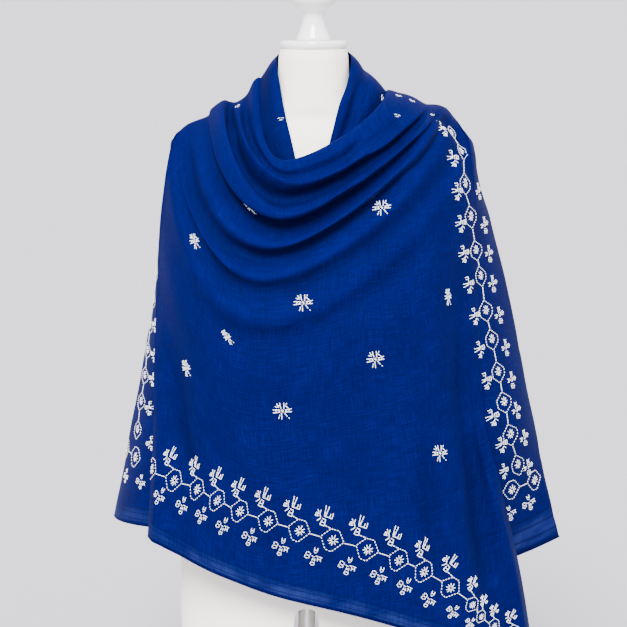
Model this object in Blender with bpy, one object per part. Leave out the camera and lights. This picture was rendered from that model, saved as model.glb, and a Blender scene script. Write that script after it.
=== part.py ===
"""Embroidered shawl worn on a limbless dress form with a short stand.

The shawl is one oblong of thin cloth. Its solids are the stretches of it that show: the
roll round the neck, the front with its cowl folds, the stretch over the left shoulder and
side, the right end and the back. Every stretch is a wall worked out from a few rails and
rows, whose sizes are measured from the neck's axis. Left and right are the viewer's.
Metres, +Z up. The origin is the middle of the base's underside.
"""
import math

import bmesh
import bpy
import numpy as np
from mathutils import Vector
from mathutils.bvhtree import BVHTree

# Driving sizes
NECK_X = 0.010        # the neck's axis stands this far right of the pole's
CLOTH = 0.002         # wall of the cloth
SEAM = 0.0003         # gap between two stretches of the cloth
RESTING = 0.0007      # gap to the form where the cloth lies on it
PLAN = 2.5            # squareness of the cloth seen from above
BACK_PLAN = 2.3
SHOULDER_Y = 0.0      # the shoulder line, where front and back meet
OVER_SHOULDER = 0.034  # how far the side stretches reach to the back

# Stand
BASE_R, BASE_H, BASE_EDGE = 0.160, 0.016, 0.004
POLE_R = 0.0125
CROTCH_Z, LEG_END_Z = 0.305, 0.200
CLEFT_TOP_W, CLEFT_FOOT_W = 0.034, 0.052

# Neck cap
PLATE_Z, PLATE_H, PLATE_R = 1.1013, 0.012, 0.0483
FINIAL = (  # radius, height over the plate
    (0.0246, 0.0000), (0.0240, 0.0035), (0.0205, 0.0120), (0.0168, 0.0230), (0.0155, 0.0330),
    (0.0170, 0.0390), (0.0225, 0.0440), (0.0290, 0.0500), (0.0330, 0.0580), (0.0340, 0.0660),
    (0.0325, 0.0760), (0.0275, 0.0860), (0.0190, 0.0935), (0.0095, 0.0970))

# Dress form, a row for each ring: height, half width, front, back, offset of its middle in x
FORM = (
    (1.1010, 0.0465, 0.0465, 0.0465, NECK_X),
    (1.0900, 0.0500, 0.0500, 0.0500, NECK_X),
    (1.0600, 0.0505, 0.0505, 0.0510, NECK_X),
    (1.0330, 0.0540, 0.0530, 0.0560, NECK_X),
    (1.0180, 0.0680, 0.0540, 0.0610, NECK_X),
    (1.0080, 0.0900, 0.0530, 0.0650, NECK_X),
    (0.9980, 0.1220, 0.0570, 0.0700, NECK_X),
    (0.9850, 0.1550, 0.0640, 0.0760, NECK_X),
    (0.9700, 0.1710, 0.0700, 0.0820, NECK_X),
    (0.9500, 0.1795, 0.0770, 0.0850, NECK_X),
    (0.9250, 0.1810, 0.0860, 0.0870, NECK_X),
    (0.8950, 0.1740, 0.0970, 0.0880, NECK_X),
    (0.8600, 0.1680, 0.1120, 0.0870, NECK_X),
    (0.8250, 0.1580, 0.1170, 0.0850, 0.0095),
    (0.7850, 0.1460, 0.1120, 0.0810, 0.0085),
    (0.7300, 0.1280, 0.0980, 0.0750, 0.0070),
    (0.6700, 0.1170, 0.0890, 0.0720, 0.0050),
    (0.6050, 0.1150, 0.0870, 0.0750, 0.0030),
    (0.5400, 0.1320, 0.0910, 0.0850, 0.0010),
    (0.4700, 0.1630, 0.0960, 0.0960, 0.0),
    (0.4050, 0.1810, 0.0980, 0.1020, 0.0),
    (0.3500, 0.1860, 0.0960, 0.1000, 0.0),
    (0.2800, 0.1860, 0.0910, 0.0930, 0.0),
    (0.2200, 0.1840, 0.0870, 0.0880, 0.0),
    (LEG_END_Z, 0.1780, 0.0820, 0.0830, 0.0))
FORM_SIDES = 36
FORM_PLAN = 2.25

# Rows of the front, a row for each crest and valley from the rolled rim to the hem.
# left and right: where the row meets the shoulder line or the side stretch; low: its lowest
# or middle point; depth: how far in front of the shoulder line; round: 1 straight, 3 square;
# front: how far its ends stand in front of the shoulder line, as a share of the depth
ROWS = (
    # name, left_x, left_z, low_x, low_z, depth, right_x, right_z, round_l, round_r, front_l, front_r
    ("tuck", -0.0735, 1.052, -0.037, 0.930, 0.1020, 0.0985, 1.022, 2.70, 1.35, 0.000, 0.000),
    ("rim", -0.0755, 1.066, -0.035, 0.951, 0.1130, 0.1040, 1.042, 2.70, 1.30, 0.000, 0.000),
    ("face", -0.0830, 1.056, -0.033, 0.939, 0.1230, 0.1220, 1.039, 2.40, 1.30, 0.000, 0.000),
    ("valley a", -0.0900, 1.036, -0.028, 0.929, 0.1210, 0.1400, 1.034, 2.20, 1.30, 0.000, 0.000),
    ("ridge b", -0.1080, 1.026, -0.022, 0.9215, 0.1290, 0.1580, 1.024, 1.70, 1.25, 0.000, 0.000),
    ("valley b", -0.1160, 1.026, -0.038, 0.906, 0.1165, 0.1640, 1.0225, 2.10, 1.25, 0.000, 0.000),
    ("roll in", -0.1280, 1.028, -0.036, 0.884, 0.1380, 0.1700, 1.0225, 1.65, 1.25, 0.000, 0.000),
    ("roll out", -0.1460, 1.016, -0.036, 0.874, 0.1430, 0.1755, 1.022, 1.95, 1.22, 0.000, 0.000),
    ("valley c", -0.1510, 1.006, -0.034, 0.862, 0.1260, 0.1805, 1.021, 1.85, 1.22, 0.000, 0.000),
    ("ridge d", -0.1660, 1.000, -0.043, 0.838, 0.1500, 0.1860, 1.019, 2.10, 1.25, 0.000, 0.000),
    ("valley d", -0.1800, 0.994, -0.058, 0.822, 0.1380, 0.1920, 1.015, 2.10, 1.30, 0.000, 0.000),
    ("ridge e", -0.1900, 0.986, -0.060, 0.791, 0.1540, 0.2000, 1.005, 2.10, 1.35, 0.000, 0.000),
    ("valley e", -0.1990, 0.976, -0.060, 0.769, 0.1480, 0.2100, 0.992, 1.90, 1.40, 0.120, 0.120),
    ("ridge f", -0.2060, 0.945, -0.062, 0.728, 0.1540, 0.2190, 0.972, 1.75, 1.40, 0.240, 0.290),
    ("valley f", -0.2115, 0.905, -0.063, 0.704, 0.1500, 0.2240, 0.945, 1.75, 1.40, 0.300, 0.345),
    ("ridge g", -0.2165, 0.860, -0.064, 0.656, 0.1530, 0.2270, 0.900, 1.75, 1.35, 0.330, 0.370),
    ("belly", -0.2200, 0.800, -0.060, 0.600, 0.1500, 0.2300, 0.815, 1.60, 1.30, 0.370, 0.420),
    ("waist", -0.2225, 0.745, -0.052, 0.545, 0.1480, 0.2360, 0.700, 1.45, 1.25, 0.430, 0.500),
    ("hip", -0.2260, 0.665, -0.046, 0.490, 0.1460, 0.2440, 0.580, 1.30, 1.20, 0.520, 0.620),
    ("thigh", -0.2285, 0.585, -0.043, 0.440, 0.1450, 0.2690, 0.480, 1.20, 1.20, 0.610, 0.600),
    ("border", -0.2335, 0.500, -0.041, 0.388, 0.1440, 0.3010, 0.355, 1.12, 1.20, 0.690, 0.500),
    ("hem", -0.2385, 0.416, -0.040, 0.333, 0.1430, 0.3270, 0.204, 1.05, 1.20, 0.750, 0.420))
RIM_ROW, TIP_ROW, SPLIT_ROW, LAST_ROW = 1, 12, 18, 21

# Outline of the cloth below the shoulders, seen from the front: height, left, right
OUTLINE = (
    (1.060, -0.1300, 0.150), (1.020, -0.1500, 0.180), (0.976, -0.1995, 0.222),
    (0.955, -0.2050, 0.231), (0.924, -0.2110, 0.235), (0.865, -0.2180, 0.253),
    (0.769, -0.2266, 0.278), (0.669, -0.2440, 0.299), (0.611, -0.2550, 0.311),
    (0.544, -0.2690, 0.326), (0.499, -0.2770, 0.335), (0.416, -0.2940, 0.3540),
    (0.387, -0.3000, 0.3625), (0.300, -0.3160, 0.374), (0.200, -0.3300, 0.390))

# Lower right: the front's rolled edge lies over the right end, whose own rows stay higher
RIGHT_END_HEM_Z = 0.387
RIGHT_END_INNER = (0.262, 0.358)   # the hidden start of its hem, in x and z
RIGHT_END_STEPS = (0.0070, 0.0080)   # set behind the front, first and then further down
LIP = 0.020            # width of the front that rolls back at its two free edges
LIP_TURN = 0.004       # how far the lip reaches behind

# Lower left: the front's folded edge lies over the side stretch
LEFT_HEM_Z = 0.4195
LEFT_SET_BACK = 0.014
LEFT_INNER = 0.016     # how far the side stretch starts behind the fold
LEFT_RISE = 0.0095     # how much higher its hem starts than the front's corner

# Long soft folds: place across (0 left to 1 right), width, height, first and last row
FRONT_FOLDS = (
    (0.800, 0.045, 0.0050, 13.0, 22.5), (0.885, 0.040, -0.0060, 14.5, 22.5),
    (0.940, 0.030, 0.0040, 15.5, 21.0), (0.690, 0.060, 0.0030, 16.0, 22.5),
    (0.300, 0.070, 0.0035, 17.0, 22.5), (0.160, 0.055, -0.0040, 15.0, 22.5))
BACK_FOLDS = (
    (0.160, 0.060, 0.0080, 9.0, 24.0), (0.300, 0.055, -0.0070, 10.0, 24.0),
    (0.430, 0.070, 0.0090, 8.0, 24.0), (0.560, 0.050, -0.0080, 11.0, 24.0),
    (0.680, 0.060, 0.0080, 9.0, 24.0), (0.830, 0.055, -0.0060, 10.0, 24.0))

# Back: the hem's lowest height in the middle, the depth behind the shoulder line by height
BACK_TOP_Z, BACK_HEM_Z = 1.037, 0.222
BACK_DEPTH = (
    (1.060, 0.0880), (1.035, 0.0890), (1.000, 0.0880), (0.960, 0.0890), (0.930, 0.0900),
    (0.880, 0.0960), (0.800, 0.1010), (0.700, 0.1040), (0.600, 0.1070), (0.500, 0.1100),
    (0.400, 0.1160), (0.300, 0.1200), (0.200, 0.1230))
BACK_HEM_DIP = (0.0, 0.03, 0.10, 0.30, 0.66, 0.93, 1.0, 0.93, 0.72, 0.38, 0.0)  # across the back
LEFT_VENT_ROW = 16.5   # below this row the left edges of front and back part
LEFT_VENT, RIGHT_VENT = 0.024, 0.050

# Roll round the neck, a station every so often from the left point round the back to the
# right point: inner edge, crest and outer edge, each in x, y, z
NECK_ROLL = (
    # inner_x, inner_y, inner_z, crest_x, crest_y, crest_z, outer_x, outer_y, outer_z
    (-0.0220, -0.0870, 0.938, -0.0370, -0.0890, 0.924, -0.0530, -0.0860, 0.914),
    (-0.0300, -0.0780, 0.974, -0.0460, -0.0820, 0.960, -0.0610, -0.0780, 0.942),
    (-0.0385, -0.0650, 1.008, -0.0540, -0.0690, 0.995, -0.0660, -0.0640, 0.970),
    (-0.0460, -0.0420, 1.046, -0.0605, -0.0440, 1.036, -0.0702, -0.0400, 0.998),
    (-0.0525, -0.0060, 1.084, -0.0635, -0.0050, 1.072, -0.0705, -0.0040, 1.042),
    (-0.0430, 0.0360, 1.096, -0.0560, 0.0480, 1.076, -0.0620, 0.0540, 1.034),
    (0.0000, 0.0535, 1.100, 0.0000, 0.0720, 1.082, 0.0000, 0.0770, 1.034),
    (0.0430, 0.0360, 1.098, 0.0640, 0.0480, 1.076, 0.0750, 0.0560, 1.032),
    (0.0535, -0.0060, 1.088, 0.0850, -0.0050, 1.062, 0.0980, -0.0030, 1.032),
    (0.0470, -0.0420, 1.054, 0.0740, -0.0430, 1.044, 0.0905, -0.0390, 1.004),
    (0.0360, -0.0650, 1.026, 0.0580, -0.0660, 1.012, 0.0760, -0.0600, 0.984),
    (0.0270, -0.0780, 0.992, 0.0450, -0.0790, 0.978, 0.0620, -0.0740, 0.956),
    (0.0180, -0.0870, 0.958, 0.0340, -0.0880, 0.944, 0.0500, -0.0850, 0.926))
ROLL_DIP = 0.005       # depth of the crease along the right half of the roll
ROLL_DIP_SHARE = 0.42  # how far across the roll the crease runs

# Samples of each stretch
FRONT_LEFT_COLUMNS, FRONT_RIGHT_COLUMNS = 15, 21
ROW_STEP = 0.5
SIDE_STEPS = 5
BACK_COLUMNS = 20
ROLL_STEP, ROLL_STEPS_ACROSS = 0.5, 6

# Looks
COLOURS = {  # name: (red, green, blue), roughness, metallic
    "blue cloth": ((0.005, 0.035, 0.270), 0.75, 0.0),
    "cream cover": ((0.800, 0.770, 0.720), 0.70, 0.0),
    "white gloss": ((0.870, 0.860, 0.840), 0.22, 0.0),
    "chrome": ((0.700, 0.710, 0.730), 0.12, 1.0)}


def clear_scene():
    for thing in list(bpy.data.objects):
        bpy.data.objects.remove(thing, do_unlink=True)


def make_material(name):
    colour, roughness, metallic = COLOURS[name]
    material = bpy.data.materials.new(name)
    material.use_nodes = True
    shader = material.node_tree.nodes["Principled BSDF"]
    shader.inputs["Base Color"].default_value = (*colour, 1.0)
    shader.inputs["Roughness"].default_value = roughness
    shader.inputs["Metallic"].default_value = metallic
    return material


def make_object(name, points, faces, material):
    mesh = bpy.data.meshes.new(name)
    mesh.from_pydata([tuple(map(float, point)) for point in points], [], faces)
    mesh.validate()
    mesh.materials.append(material)
    mesh.shade_smooth()
    mesh.set_sharp_from_angle(angle=math.radians(40))
    thing = bpy.data.objects.new(name, mesh)
    bpy.context.scene.collection.objects.link(thing)
    return thing


def spline(table, place):
    """Smooth curve through evenly numbered rows: place 2.5 is halfway from row 2 to row 3."""
    table = np.asarray(table, float)
    place = np.clip(np.asarray(place, float), 0.0, len(table) - 1.0)
    first = np.minimum(place.astype(int), len(table) - 2)
    part = (place - first)[..., None]
    before = table[np.maximum(first - 1, 0)]
    after = table[np.minimum(first + 2, len(table) - 1)]
    start, end = table[first], table[first + 1]
    slope_start, slope_end = (end - before) / 2, (after - start) / 2
    square, cube = part ** 2, part ** 3
    return ((2 * cube - 3 * square + 1) * start + (cube - 2 * square + part) * slope_start
            + (3 * square - 2 * cube) * end + (cube - square) * slope_end)


def by_height(table, height):
    """Smooth reading of a table whose first column is a falling height."""
    table = np.asarray(table, float)
    numbers = np.arange(len(table))
    place = np.interp(-np.asarray(height, float), -table[:, 0], numbers)
    return spline(table[:, 1:], place)


def smoothstep(low, high, value):
    part = np.clip((np.asarray(value, float) - low) / (high - low), 0.0, 1.0)
    return part * part * (3 - 2 * part)


def bulge(ratio, power):
    return (1 - np.clip(ratio, 0.0, 1.0) ** power) ** (1 / power)


def long_folds(folds, across, row):
    """Height of the long soft folds at a place across and a row."""
    height = 0.0
    for place, width, size, first, last in folds:
        shape = np.exp(-((across - place) / width) ** 2)
        height = height + size * shape * smoothstep(first, first + 4.0, row) * (row < last)
    return height


def front_row(across, row):
    """Point of the front at across 0 to 1 (0.5 is the row's low point) on a row number."""
    across, row = np.broadcast_arrays(np.asarray(across, float), np.asarray(row, float))
    values = spline([entry[1:] for entry in ROWS], row)
    left_x, left_z, low_x, low_z, depth, right_x, right_z, round_l, round_r, front_l, front_r = (
        values[..., k] for k in range(11))
    on_left = across < 0.5
    edge_x = np.where(on_left, left_x, right_x)
    edge_z = np.where(on_left, left_z, right_z)
    power = np.where(on_left, round_l, round_r)
    share = np.abs(across - 0.5) * 2
    angle = math.pi / 2 * (1 - share) ** 1.35
    radius = (np.cos(angle) ** power + np.abs(np.sin(angle)) ** power) ** (1 / power)
    x = low_x + (edge_x - low_x) * np.cos(angle) / radius
    z = edge_z + (low_z - edge_z) * np.sin(angle) / radius
    wide = bulge(np.where(on_left, front_l, front_r), PLAN)
    y = SHOULDER_Y - depth * bulge(np.abs((x - low_x) / (edge_x - low_x)) * wide, PLAN)
    y = y - long_folds(FRONT_FOLDS, across, row)
    return np.stack([x, y, z], axis=-1)


def lip(points, row, right):
    """Roll the free edge of the front back on itself, more and more down its open length."""
    rise = smoothstep(SPLIT_ROW + 0.6, SPLIT_ROW + 2.0, row) if right else (
        smoothstep(TIP_ROW + 6.0, TIP_ROW + 8.0, row))
    side = 1.0 if right else -1.0
    edge = points[:, -1:] if right else points[:, :1]
    from_edge = np.clip(1 - side * (edge[..., 0] - points[..., 0]) / LIP, 0.0, 1.0)
    rolled = points.copy()
    turn = rise[:, None] * from_edge ** 3
    rolled[..., 0] -= side * LIP * 0.12 * turn
    rolled[..., 1] += LIP_TURN * turn - 0.004 * rise[:, None] * np.sin(math.pi * from_edge) ** 2
    return rolled


def side_stretch(row, right):
    """Front edge and silhouette of a side stretch on each row, with the row's low point."""
    values = spline([entry[1:] for entry in ROWS], row)
    low_x, depth = values[:, 2], values[:, 4]
    inner = front_row(np.full(row.shape, 1.0 if right else 0.0), row)
    below = smoothstep(TIP_ROW - 1.0, TIP_ROW + 0.5, row)
    if right:
        start = front_row(np.array(1.0), np.array(float(SPLIT_ROW)))
        run = np.clip((row - SPLIT_ROW) / (LAST_ROW - SPLIT_ROW), 0.0, 1.0)
        apart = row > SPLIT_ROW
        inner[:, 0] = np.where(apart, start[0] + (RIGHT_END_INNER[0] - start[0]) * run, inner[:, 0])
        inner[:, 2] = np.where(apart, start[2] + (RIGHT_END_INNER[1] - start[2]) * run, inner[:, 2])
        outer_z = np.where(apart, start[2] + (RIGHT_END_HEM_Z - start[2]) * run, inner[:, 2])
        set_back = RIGHT_END_STEPS[0] * smoothstep(SPLIT_ROW - 1.2, SPLIT_ROW, row)
        set_back = set_back + RIGHT_END_STEPS[1] * smoothstep(SPLIT_ROW, SPLIT_ROW + 1.5, row)
        outer_x = by_height(OUTLINE, outer_z)[:, 1]
    else:
        inner[:, 0] += LEFT_INNER * smoothstep(TIP_ROW + 5.0, TIP_ROW + 7.0, row)
        inner[:, 2] += LEFT_RISE * smoothstep(19.0, LAST_ROW, row)
        set_back = LEFT_SET_BACK * smoothstep(TIP_ROW + 3.0, TIP_ROW + 6.5, row)
        outer_z = inner[:, 2] + (LEFT_HEM_Z - inner[:, 2]) * smoothstep(19.0, LAST_ROW, row)
        outer_x = by_height(OUTLINE, outer_z)[:, 0]
    outer_x = inner[:, 0] + (outer_x - inner[:, 0]) * below
    outer = np.stack([outer_x, np.full(row.shape, SHOULDER_Y), outer_z], axis=-1)
    return inner, outer, low_x, depth, set_back, below


def side_back_edge(row, right):
    """Where a side stretch ends behind the silhouette."""
    outer, below = side_stretch(row, right)[1], side_stretch(row, right)[5]
    reach = OVER_SHOULDER * np.ones(row.shape)
    if right:
        reach = reach * (1 - 0.85 * smoothstep(TIP_ROW + 1.0, TIP_ROW + 5.0, row))
    side = 1.0 if right else -1.0
    return outer + np.stack([-side * 0.004 * below, reach, -0.007 * (1 - below)], axis=-1)


def side_grid(row, right, steps):
    inner, outer, low_x, depth, set_back, below = side_stretch(row, right)
    behind = side_back_edge(row, right)
    front = (SHOULDER_Y - inner[:, 1]) / depth
    wide = bulge(front, PLAN)
    bulge_x = low_x + (inner[:, 0] - low_x) / wide
    columns = []
    for k in range(steps + 1):
        over_shoulder = inner + (behind - inner) * k / steps
        part = min(k / (steps - 1), 1.0)
        down_side = inner + (outer - inner) * part
        x = low_x + (bulge_x - low_x) * bulge(front * (1 - part), PLAN)
        down_side[:, 0] = x + (outer[:, 0] - bulge_x) * part
        down_side[:, 1] = SHOULDER_Y - (depth * front - set_back) * (1 - part)
        if k == steps:
            down_side = behind
        columns.append(over_shoulder + (down_side - over_shoulder) * below[:, None])
    return np.stack(columns, axis=1)


def back_grid(row, columns):
    """The back hangs between the back edges of the two side stretches."""
    left, right = side_back_edge(row, False), side_back_edge(row, True)
    vent = smoothstep(LEFT_VENT_ROW, LAST_ROW, row)
    left[:, 1] += LEFT_VENT * vent
    left[:, 0] += 0.03 * vent
    right_vent = smoothstep(TIP_ROW + 0.5, LAST_ROW, row)
    right[:, 1] += RIGHT_VENT * right_vent
    right[:, 0] -= 0.055 * right_vent
    step = np.linalg.norm(np.diff(left, axis=0), axis=1)
    down = np.concatenate([[0.0], np.cumsum(step)])
    down = down / down[-1]
    middle_z = BACK_TOP_Z + (BACK_HEM_Z - BACK_TOP_Z) * down
    across = np.linspace(0.0, 1.0, columns + 1)[None, :]
    turn = math.pi * across
    centre_x = (left[:, :1] + right[:, :1]) / 2
    half = (right[:, :1] - left[:, :1]) / 2
    x = centre_x - half * np.cos(turn)
    edge_y = left[:, 1:2] * (1 - across) + right[:, 1:2] * across
    edge_z = left[:, 2:3] * (1 - across) + right[:, 2:3] * across
    hem_dip = spline(np.array(BACK_HEM_DIP)[:, None], across * (len(BACK_HEM_DIP) - 1))[..., 0]
    dip = np.sin(turn) ** 1.5 + (hem_dip - np.sin(turn) ** 1.5) * down[:, None] ** 2
    z = edge_z + (middle_z[:, None] - edge_z) * dip
    depth = by_height(BACK_DEPTH, z)[..., 0]
    y = edge_y + (depth - edge_y) * np.sin(turn) ** (2 / BACK_PLAN)
    y = y + long_folds(BACK_FOLDS, across, row[:, None]) * np.sin(turn)
    return np.stack([x, y, z], axis=-1)


def roll_grid():
    stations = np.arange(0.0, len(NECK_ROLL) - 1 + ROLL_STEP / 2, ROLL_STEP)
    rails = spline(NECK_ROLL, stations).reshape(len(stations), 3, 3)
    shares = np.linspace(0.0, 1.0, ROLL_STEPS_ACROSS + 1)
    grid = np.stack([spline(rail, shares * 2) for rail in rails])
    on_right = smoothstep(5.5, 7.5, stations)[:, None]
    dip = ROLL_DIP * on_right * np.exp(-((shares - ROLL_DIP_SHARE) / 0.14) ** 2)
    return grid - grid_normals(grid) * dip[..., None]


def grid_normals(grid):
    """Unit normals; down the rows crossed with along the columns."""
    down = np.gradient(grid, axis=0)
    along = np.gradient(grid, axis=1)
    normal = np.cross(along, down)
    return -normal / np.maximum(np.linalg.norm(normal, axis=-1, keepdims=True), 1e-9)


def share(first, second, joined, divisor):
    """Give two edges that meet the same points, or with no divisor the same unit normals."""
    total = first + second
    if divisor is None:
        divisor = np.maximum(np.linalg.norm(total, axis=-1, keepdims=True), 1e-9)
    first[:] = np.where(joined, total / divisor, first)
    second[:] = np.where(joined, total / divisor, second)


def rest_on(grid, tree):
    """Move a wall outwards where its inner face, at or between its points, is too near."""
    grid = grid.copy()
    for _ in range(8):
        inner = grid - grid_normals(grid) * CLOTH
        push = np.zeros(grid.shape)
        size = np.zeros(grid.shape[:2])
        for part_down, part_along in ((0, 0), (0.5, 0), (0, 0.5), (0.5, 0.5)):
            rows = grid.shape[0] - (part_down > 0)
            columns = grid.shape[1] - (part_along > 0)
            for row, column in np.ndindex(rows, columns):
                down, along = row + (part_down > 0), column + (part_along > 0)
                corners = ((row, column), (down, column), (row, along), (down, along))
                point = Vector(sum(inner[corner] for corner in corners) / 4)
                spot, normal, _, _ = tree.find_nearest(point)
                short = RESTING - (point - spot).dot(normal)
                if short <= 0 or (point - spot).length > 0.03:
                    continue
                for corner in corners:
                    if short > size[corner]:
                        size[corner] = short
                        push[corner] = np.array(normal) * short
        if not size.any():
            break
        grid = grid + push
    return grid


def draw_in(grid, normals):
    """Leave half a seam's gap along the left and right edges of a grid."""
    grid = grid.copy()
    for edge, side in ((0, 1.0), (-1, -1.0)):
        inwards = np.cross(normals[:, edge], np.gradient(grid[:, edge], axis=0)) * side
        length = np.maximum(np.linalg.norm(inwards, axis=-1, keepdims=True), 1e-9)
        grid[:, edge] += inwards / length * SEAM / 2
    return grid


def make_wall(name, grid, normals, material):
    """A wall whose outer face is the grid and whose inner face lies a cloth's width inside."""
    rows, columns = grid.shape[:2]
    grid = grid + np.array([NECK_X, 0.0, 0.0])
    points = np.concatenate([grid.reshape(-1, 3), (grid - normals * CLOTH).reshape(-1, 3)])
    inner = rows * columns

    def at(row, column):
        return row * columns + column

    faces = []
    for row in range(rows - 1):
        for column in range(columns - 1):
            ring = (at(row, column), at(row + 1, column),
                    at(row + 1, column + 1), at(row, column + 1))
            faces.append(ring)
            faces.append(tuple(inner + corner for corner in reversed(ring)))
    border = [at(0, column) for column in range(columns)]
    border += [at(row, columns - 1) for row in range(1, rows)]
    border += [at(rows - 1, column) for column in range(columns - 2, -1, -1)]
    border += [at(row, 0) for row in range(rows - 2, 0, -1)]
    for first, second in zip(border, border[1:] + border[:1]):
        # split so that two edges that face each other across a seam bend alike
        if first < second:
            faces.append((first, second, inner + second))
            faces.append((first, inner + second, inner + first))
        else:
            faces.append((first, second, inner + first))
            faces.append((second, inner + second, inner + first))
    return make_object(name, points, faces, material)


def make_lathe(name, profile, sides, material, centre_x):
    """Turned solid from (radius, height) points given from the bottom up."""
    points = []
    for radius, height in profile:
        for k in range(sides):
            angle = 2 * math.pi * k / sides
            points.append((centre_x + radius * math.cos(angle), radius * math.sin(angle), height))
    faces = [tuple(reversed(range(sides)))]
    for level in range(len(profile) - 1):
        for k in range(sides):
            after = (k + 1) % sides
            low, high = level * sides, (level + 1) * sides
            faces.append((low + k, low + after, high + after, high + k))
    top = (len(profile) - 1) * sides
    faces.append(tuple(top + k for k in range(sides)))
    return make_object(name, points, faces, material)


def rounded_disc(radius, low, height, edge):
    """Profile of a disc whose two rims are rounded."""
    profile = []
    for k in range(4):
        angle = math.pi / 2 * k / 3
        profile.append((radius - edge + edge * math.sin(angle), low + edge - edge * math.cos(angle)))
    for k in range(4):
        angle = math.pi / 2 * k / 3
        profile.append((radius - edge + edge * math.cos(angle),
                        low + height - edge + edge * math.sin(angle)))
    return profile


def make_form(material):
    """Neck, shoulders, bust, waist and hips as rings, with the cleft between the thighs cut."""
    points = []
    for height, half, front, back, middle in FORM:
        for k in range(FORM_SIDES):
            angle = 2 * math.pi * k / FORM_SIDES
            across, along = math.cos(angle), math.sin(angle)
            radius = (abs(across) ** FORM_PLAN + abs(along) ** FORM_PLAN) ** (-1 / FORM_PLAN)
            depth = back if along > 0 else front
            points.append((middle + half * across * radius, depth * along * radius, height))
    faces = [tuple(range(FORM_SIDES))]
    for level in range(len(FORM) - 1):
        for k in range(FORM_SIDES):
            after = (k + 1) % FORM_SIDES
            high, low = level * FORM_SIDES, (level + 1) * FORM_SIDES
            faces.append((low + k, low + after, high + after, high + k))
    low = (len(FORM) - 1) * FORM_SIDES
    faces.append(tuple(reversed(range(low, low + FORM_SIDES))))
    form = make_object("form_torso", points, faces, material)

    cleft = bpy.data.meshes.new("cleft")
    shape = bmesh.new()
    foot, top = CLEFT_FOOT_W / 2, CLEFT_TOP_W / 2
    outline = [(-foot, LEG_END_Z - 0.01), (foot, LEG_END_Z - 0.01), (top, CROTCH_Z - 0.012),
               (top * 0.8, CROTCH_Z - 0.003), (POLE_R + 0.0005, CROTCH_Z),
               (-POLE_R - 0.0005, CROTCH_Z), (-top * 0.8, CROTCH_Z - 0.003),
               (-top, CROTCH_Z - 0.012)]
    ring = [shape.verts.new((x, -0.2, z)) for x, z in outline]
    face = shape.faces.new(ring)
    grown = bmesh.ops.extrude_face_region(shape, geom=[face])
    moved = [item for item in grown["geom"] if isinstance(item, bmesh.types.BMVert)]
    bmesh.ops.translate(shape, verts=moved, vec=(0.0, 0.4, 0.0))
    bmesh.ops.recalc_face_normals(shape, faces=shape.faces)
    shape.to_mesh(cleft)
    shape.free()
    cutter = bpy.data.objects.new("cleft_cutter", cleft)
    cutter.hide_render = True
    cutter.display_type = "WIRE"
    bpy.context.scene.collection.objects.link(cutter)
    cut = form.modifiers.new("cleft", "BOOLEAN")
    cut.operation = "DIFFERENCE"
    cut.solver = "EXACT"
    cut.object = cutter
    return form


def surface_tree(thing, offset_x):
    points = [vertex.co - Vector((offset_x, 0.0, 0.0)) for vertex in thing.data.vertices]
    faces = [tuple(polygon.vertices) for polygon in thing.data.polygons]
    return BVHTree.FromPolygons(points, faces)


def make_shawl(material, form):
    body = surface_tree(form, NECK_X)
    roll = rest_on(roll_grid(), body)
    make_wall("neck_roll", roll, grid_normals(roll), material)

    front_rows = np.arange(0.0, LAST_ROW + ROW_STEP / 2, ROW_STEP)
    across = np.concatenate([
        np.linspace(0.0, 0.5, FRONT_LEFT_COLUMNS + 1)[:-1],
        np.linspace(0.5, 1.0, FRONT_RIGHT_COLUMNS + 1)])
    front = front_row(across[None, :], front_rows[:, None])
    front = lip(lip(front, front_rows, True), front_rows, False)
    rows = front_rows[front_rows >= RIM_ROW]
    stretches = {
        "front_fall": front,
        "left_side": side_grid(rows, False, SIDE_STEPS)[:, ::-1],
        "right_end": side_grid(rows, True, SIDE_STEPS),
        "back_fall": back_grid(rows, BACK_COLUMNS)[:, ::-1]}
    ring = ("left_side", "front_fall", "right_end", "back_fall")
    seams = [(stretches[name][-len(rows):, -1], stretches[after][-len(rows):, 0])
             for name, after in zip(ring, ring[1:] + ring[:1])]
    apart = [np.linalg.norm(first - second, axis=-1, keepdims=True) for first, second in seams]
    stretches = {name: rest_on(grid, body) for name, grid in stretches.items()}
    normals = {name: grid_normals(grid) for name, grid in stretches.items()}
    count = len(rows)
    for name, after, gap in zip(ring, ring[1:] + ring[:1], apart):
        share(stretches[name][-count:, -1], stretches[after][-count:, 0], gap < SEAM, 2.0)
        share(normals[name][-count:, -1], normals[after][-count:, 0], gap < 2 * CLOTH, None)
    for name, grid in stretches.items():
        make_wall(name, draw_in(grid, normals[name]), normals[name], material)


def main():
    clear_scene()
    cloth, cover, gloss, chrome = (make_material(name) for name in COLOURS)
    form = make_form(cover)
    make_shawl(cloth, form)
    make_lathe("neck_plate", rounded_disc(PLATE_R, PLATE_Z, PLATE_H, 0.004), 36, gloss, NECK_X)
    top = PLATE_Z + PLATE_H + SEAM
    make_lathe("finial", [(radius, top + height) for radius, height in FINIAL], 28, gloss, NECK_X)
    make_lathe("pole", [(POLE_R, BASE_H + SEAM), (POLE_R, CROTCH_Z - SEAM)], 24, chrome, 0.0)
    make_lathe("base", rounded_disc(BASE_R, 0.0, BASE_H, BASE_EDGE), 48, chrome, 0.0)


main()
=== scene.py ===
"""Looks of the embroidered shawl on its dress form.

The shawl is thin cloth that follows the solids' own rails and rows at a finer step, with its
smaller creases, its rolled hems and its white stitched border and sprigs. It is one mesh in
two stretches that aren't joined, the neck roll and the rest. Left and right are the viewer's.
The rails are measured from the neck's axis; metres, +Z up.
"""
import math

import bmesh
import bpy
import numpy as np
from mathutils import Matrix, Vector
from mathutils.bvhtree import BVHTree


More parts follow.
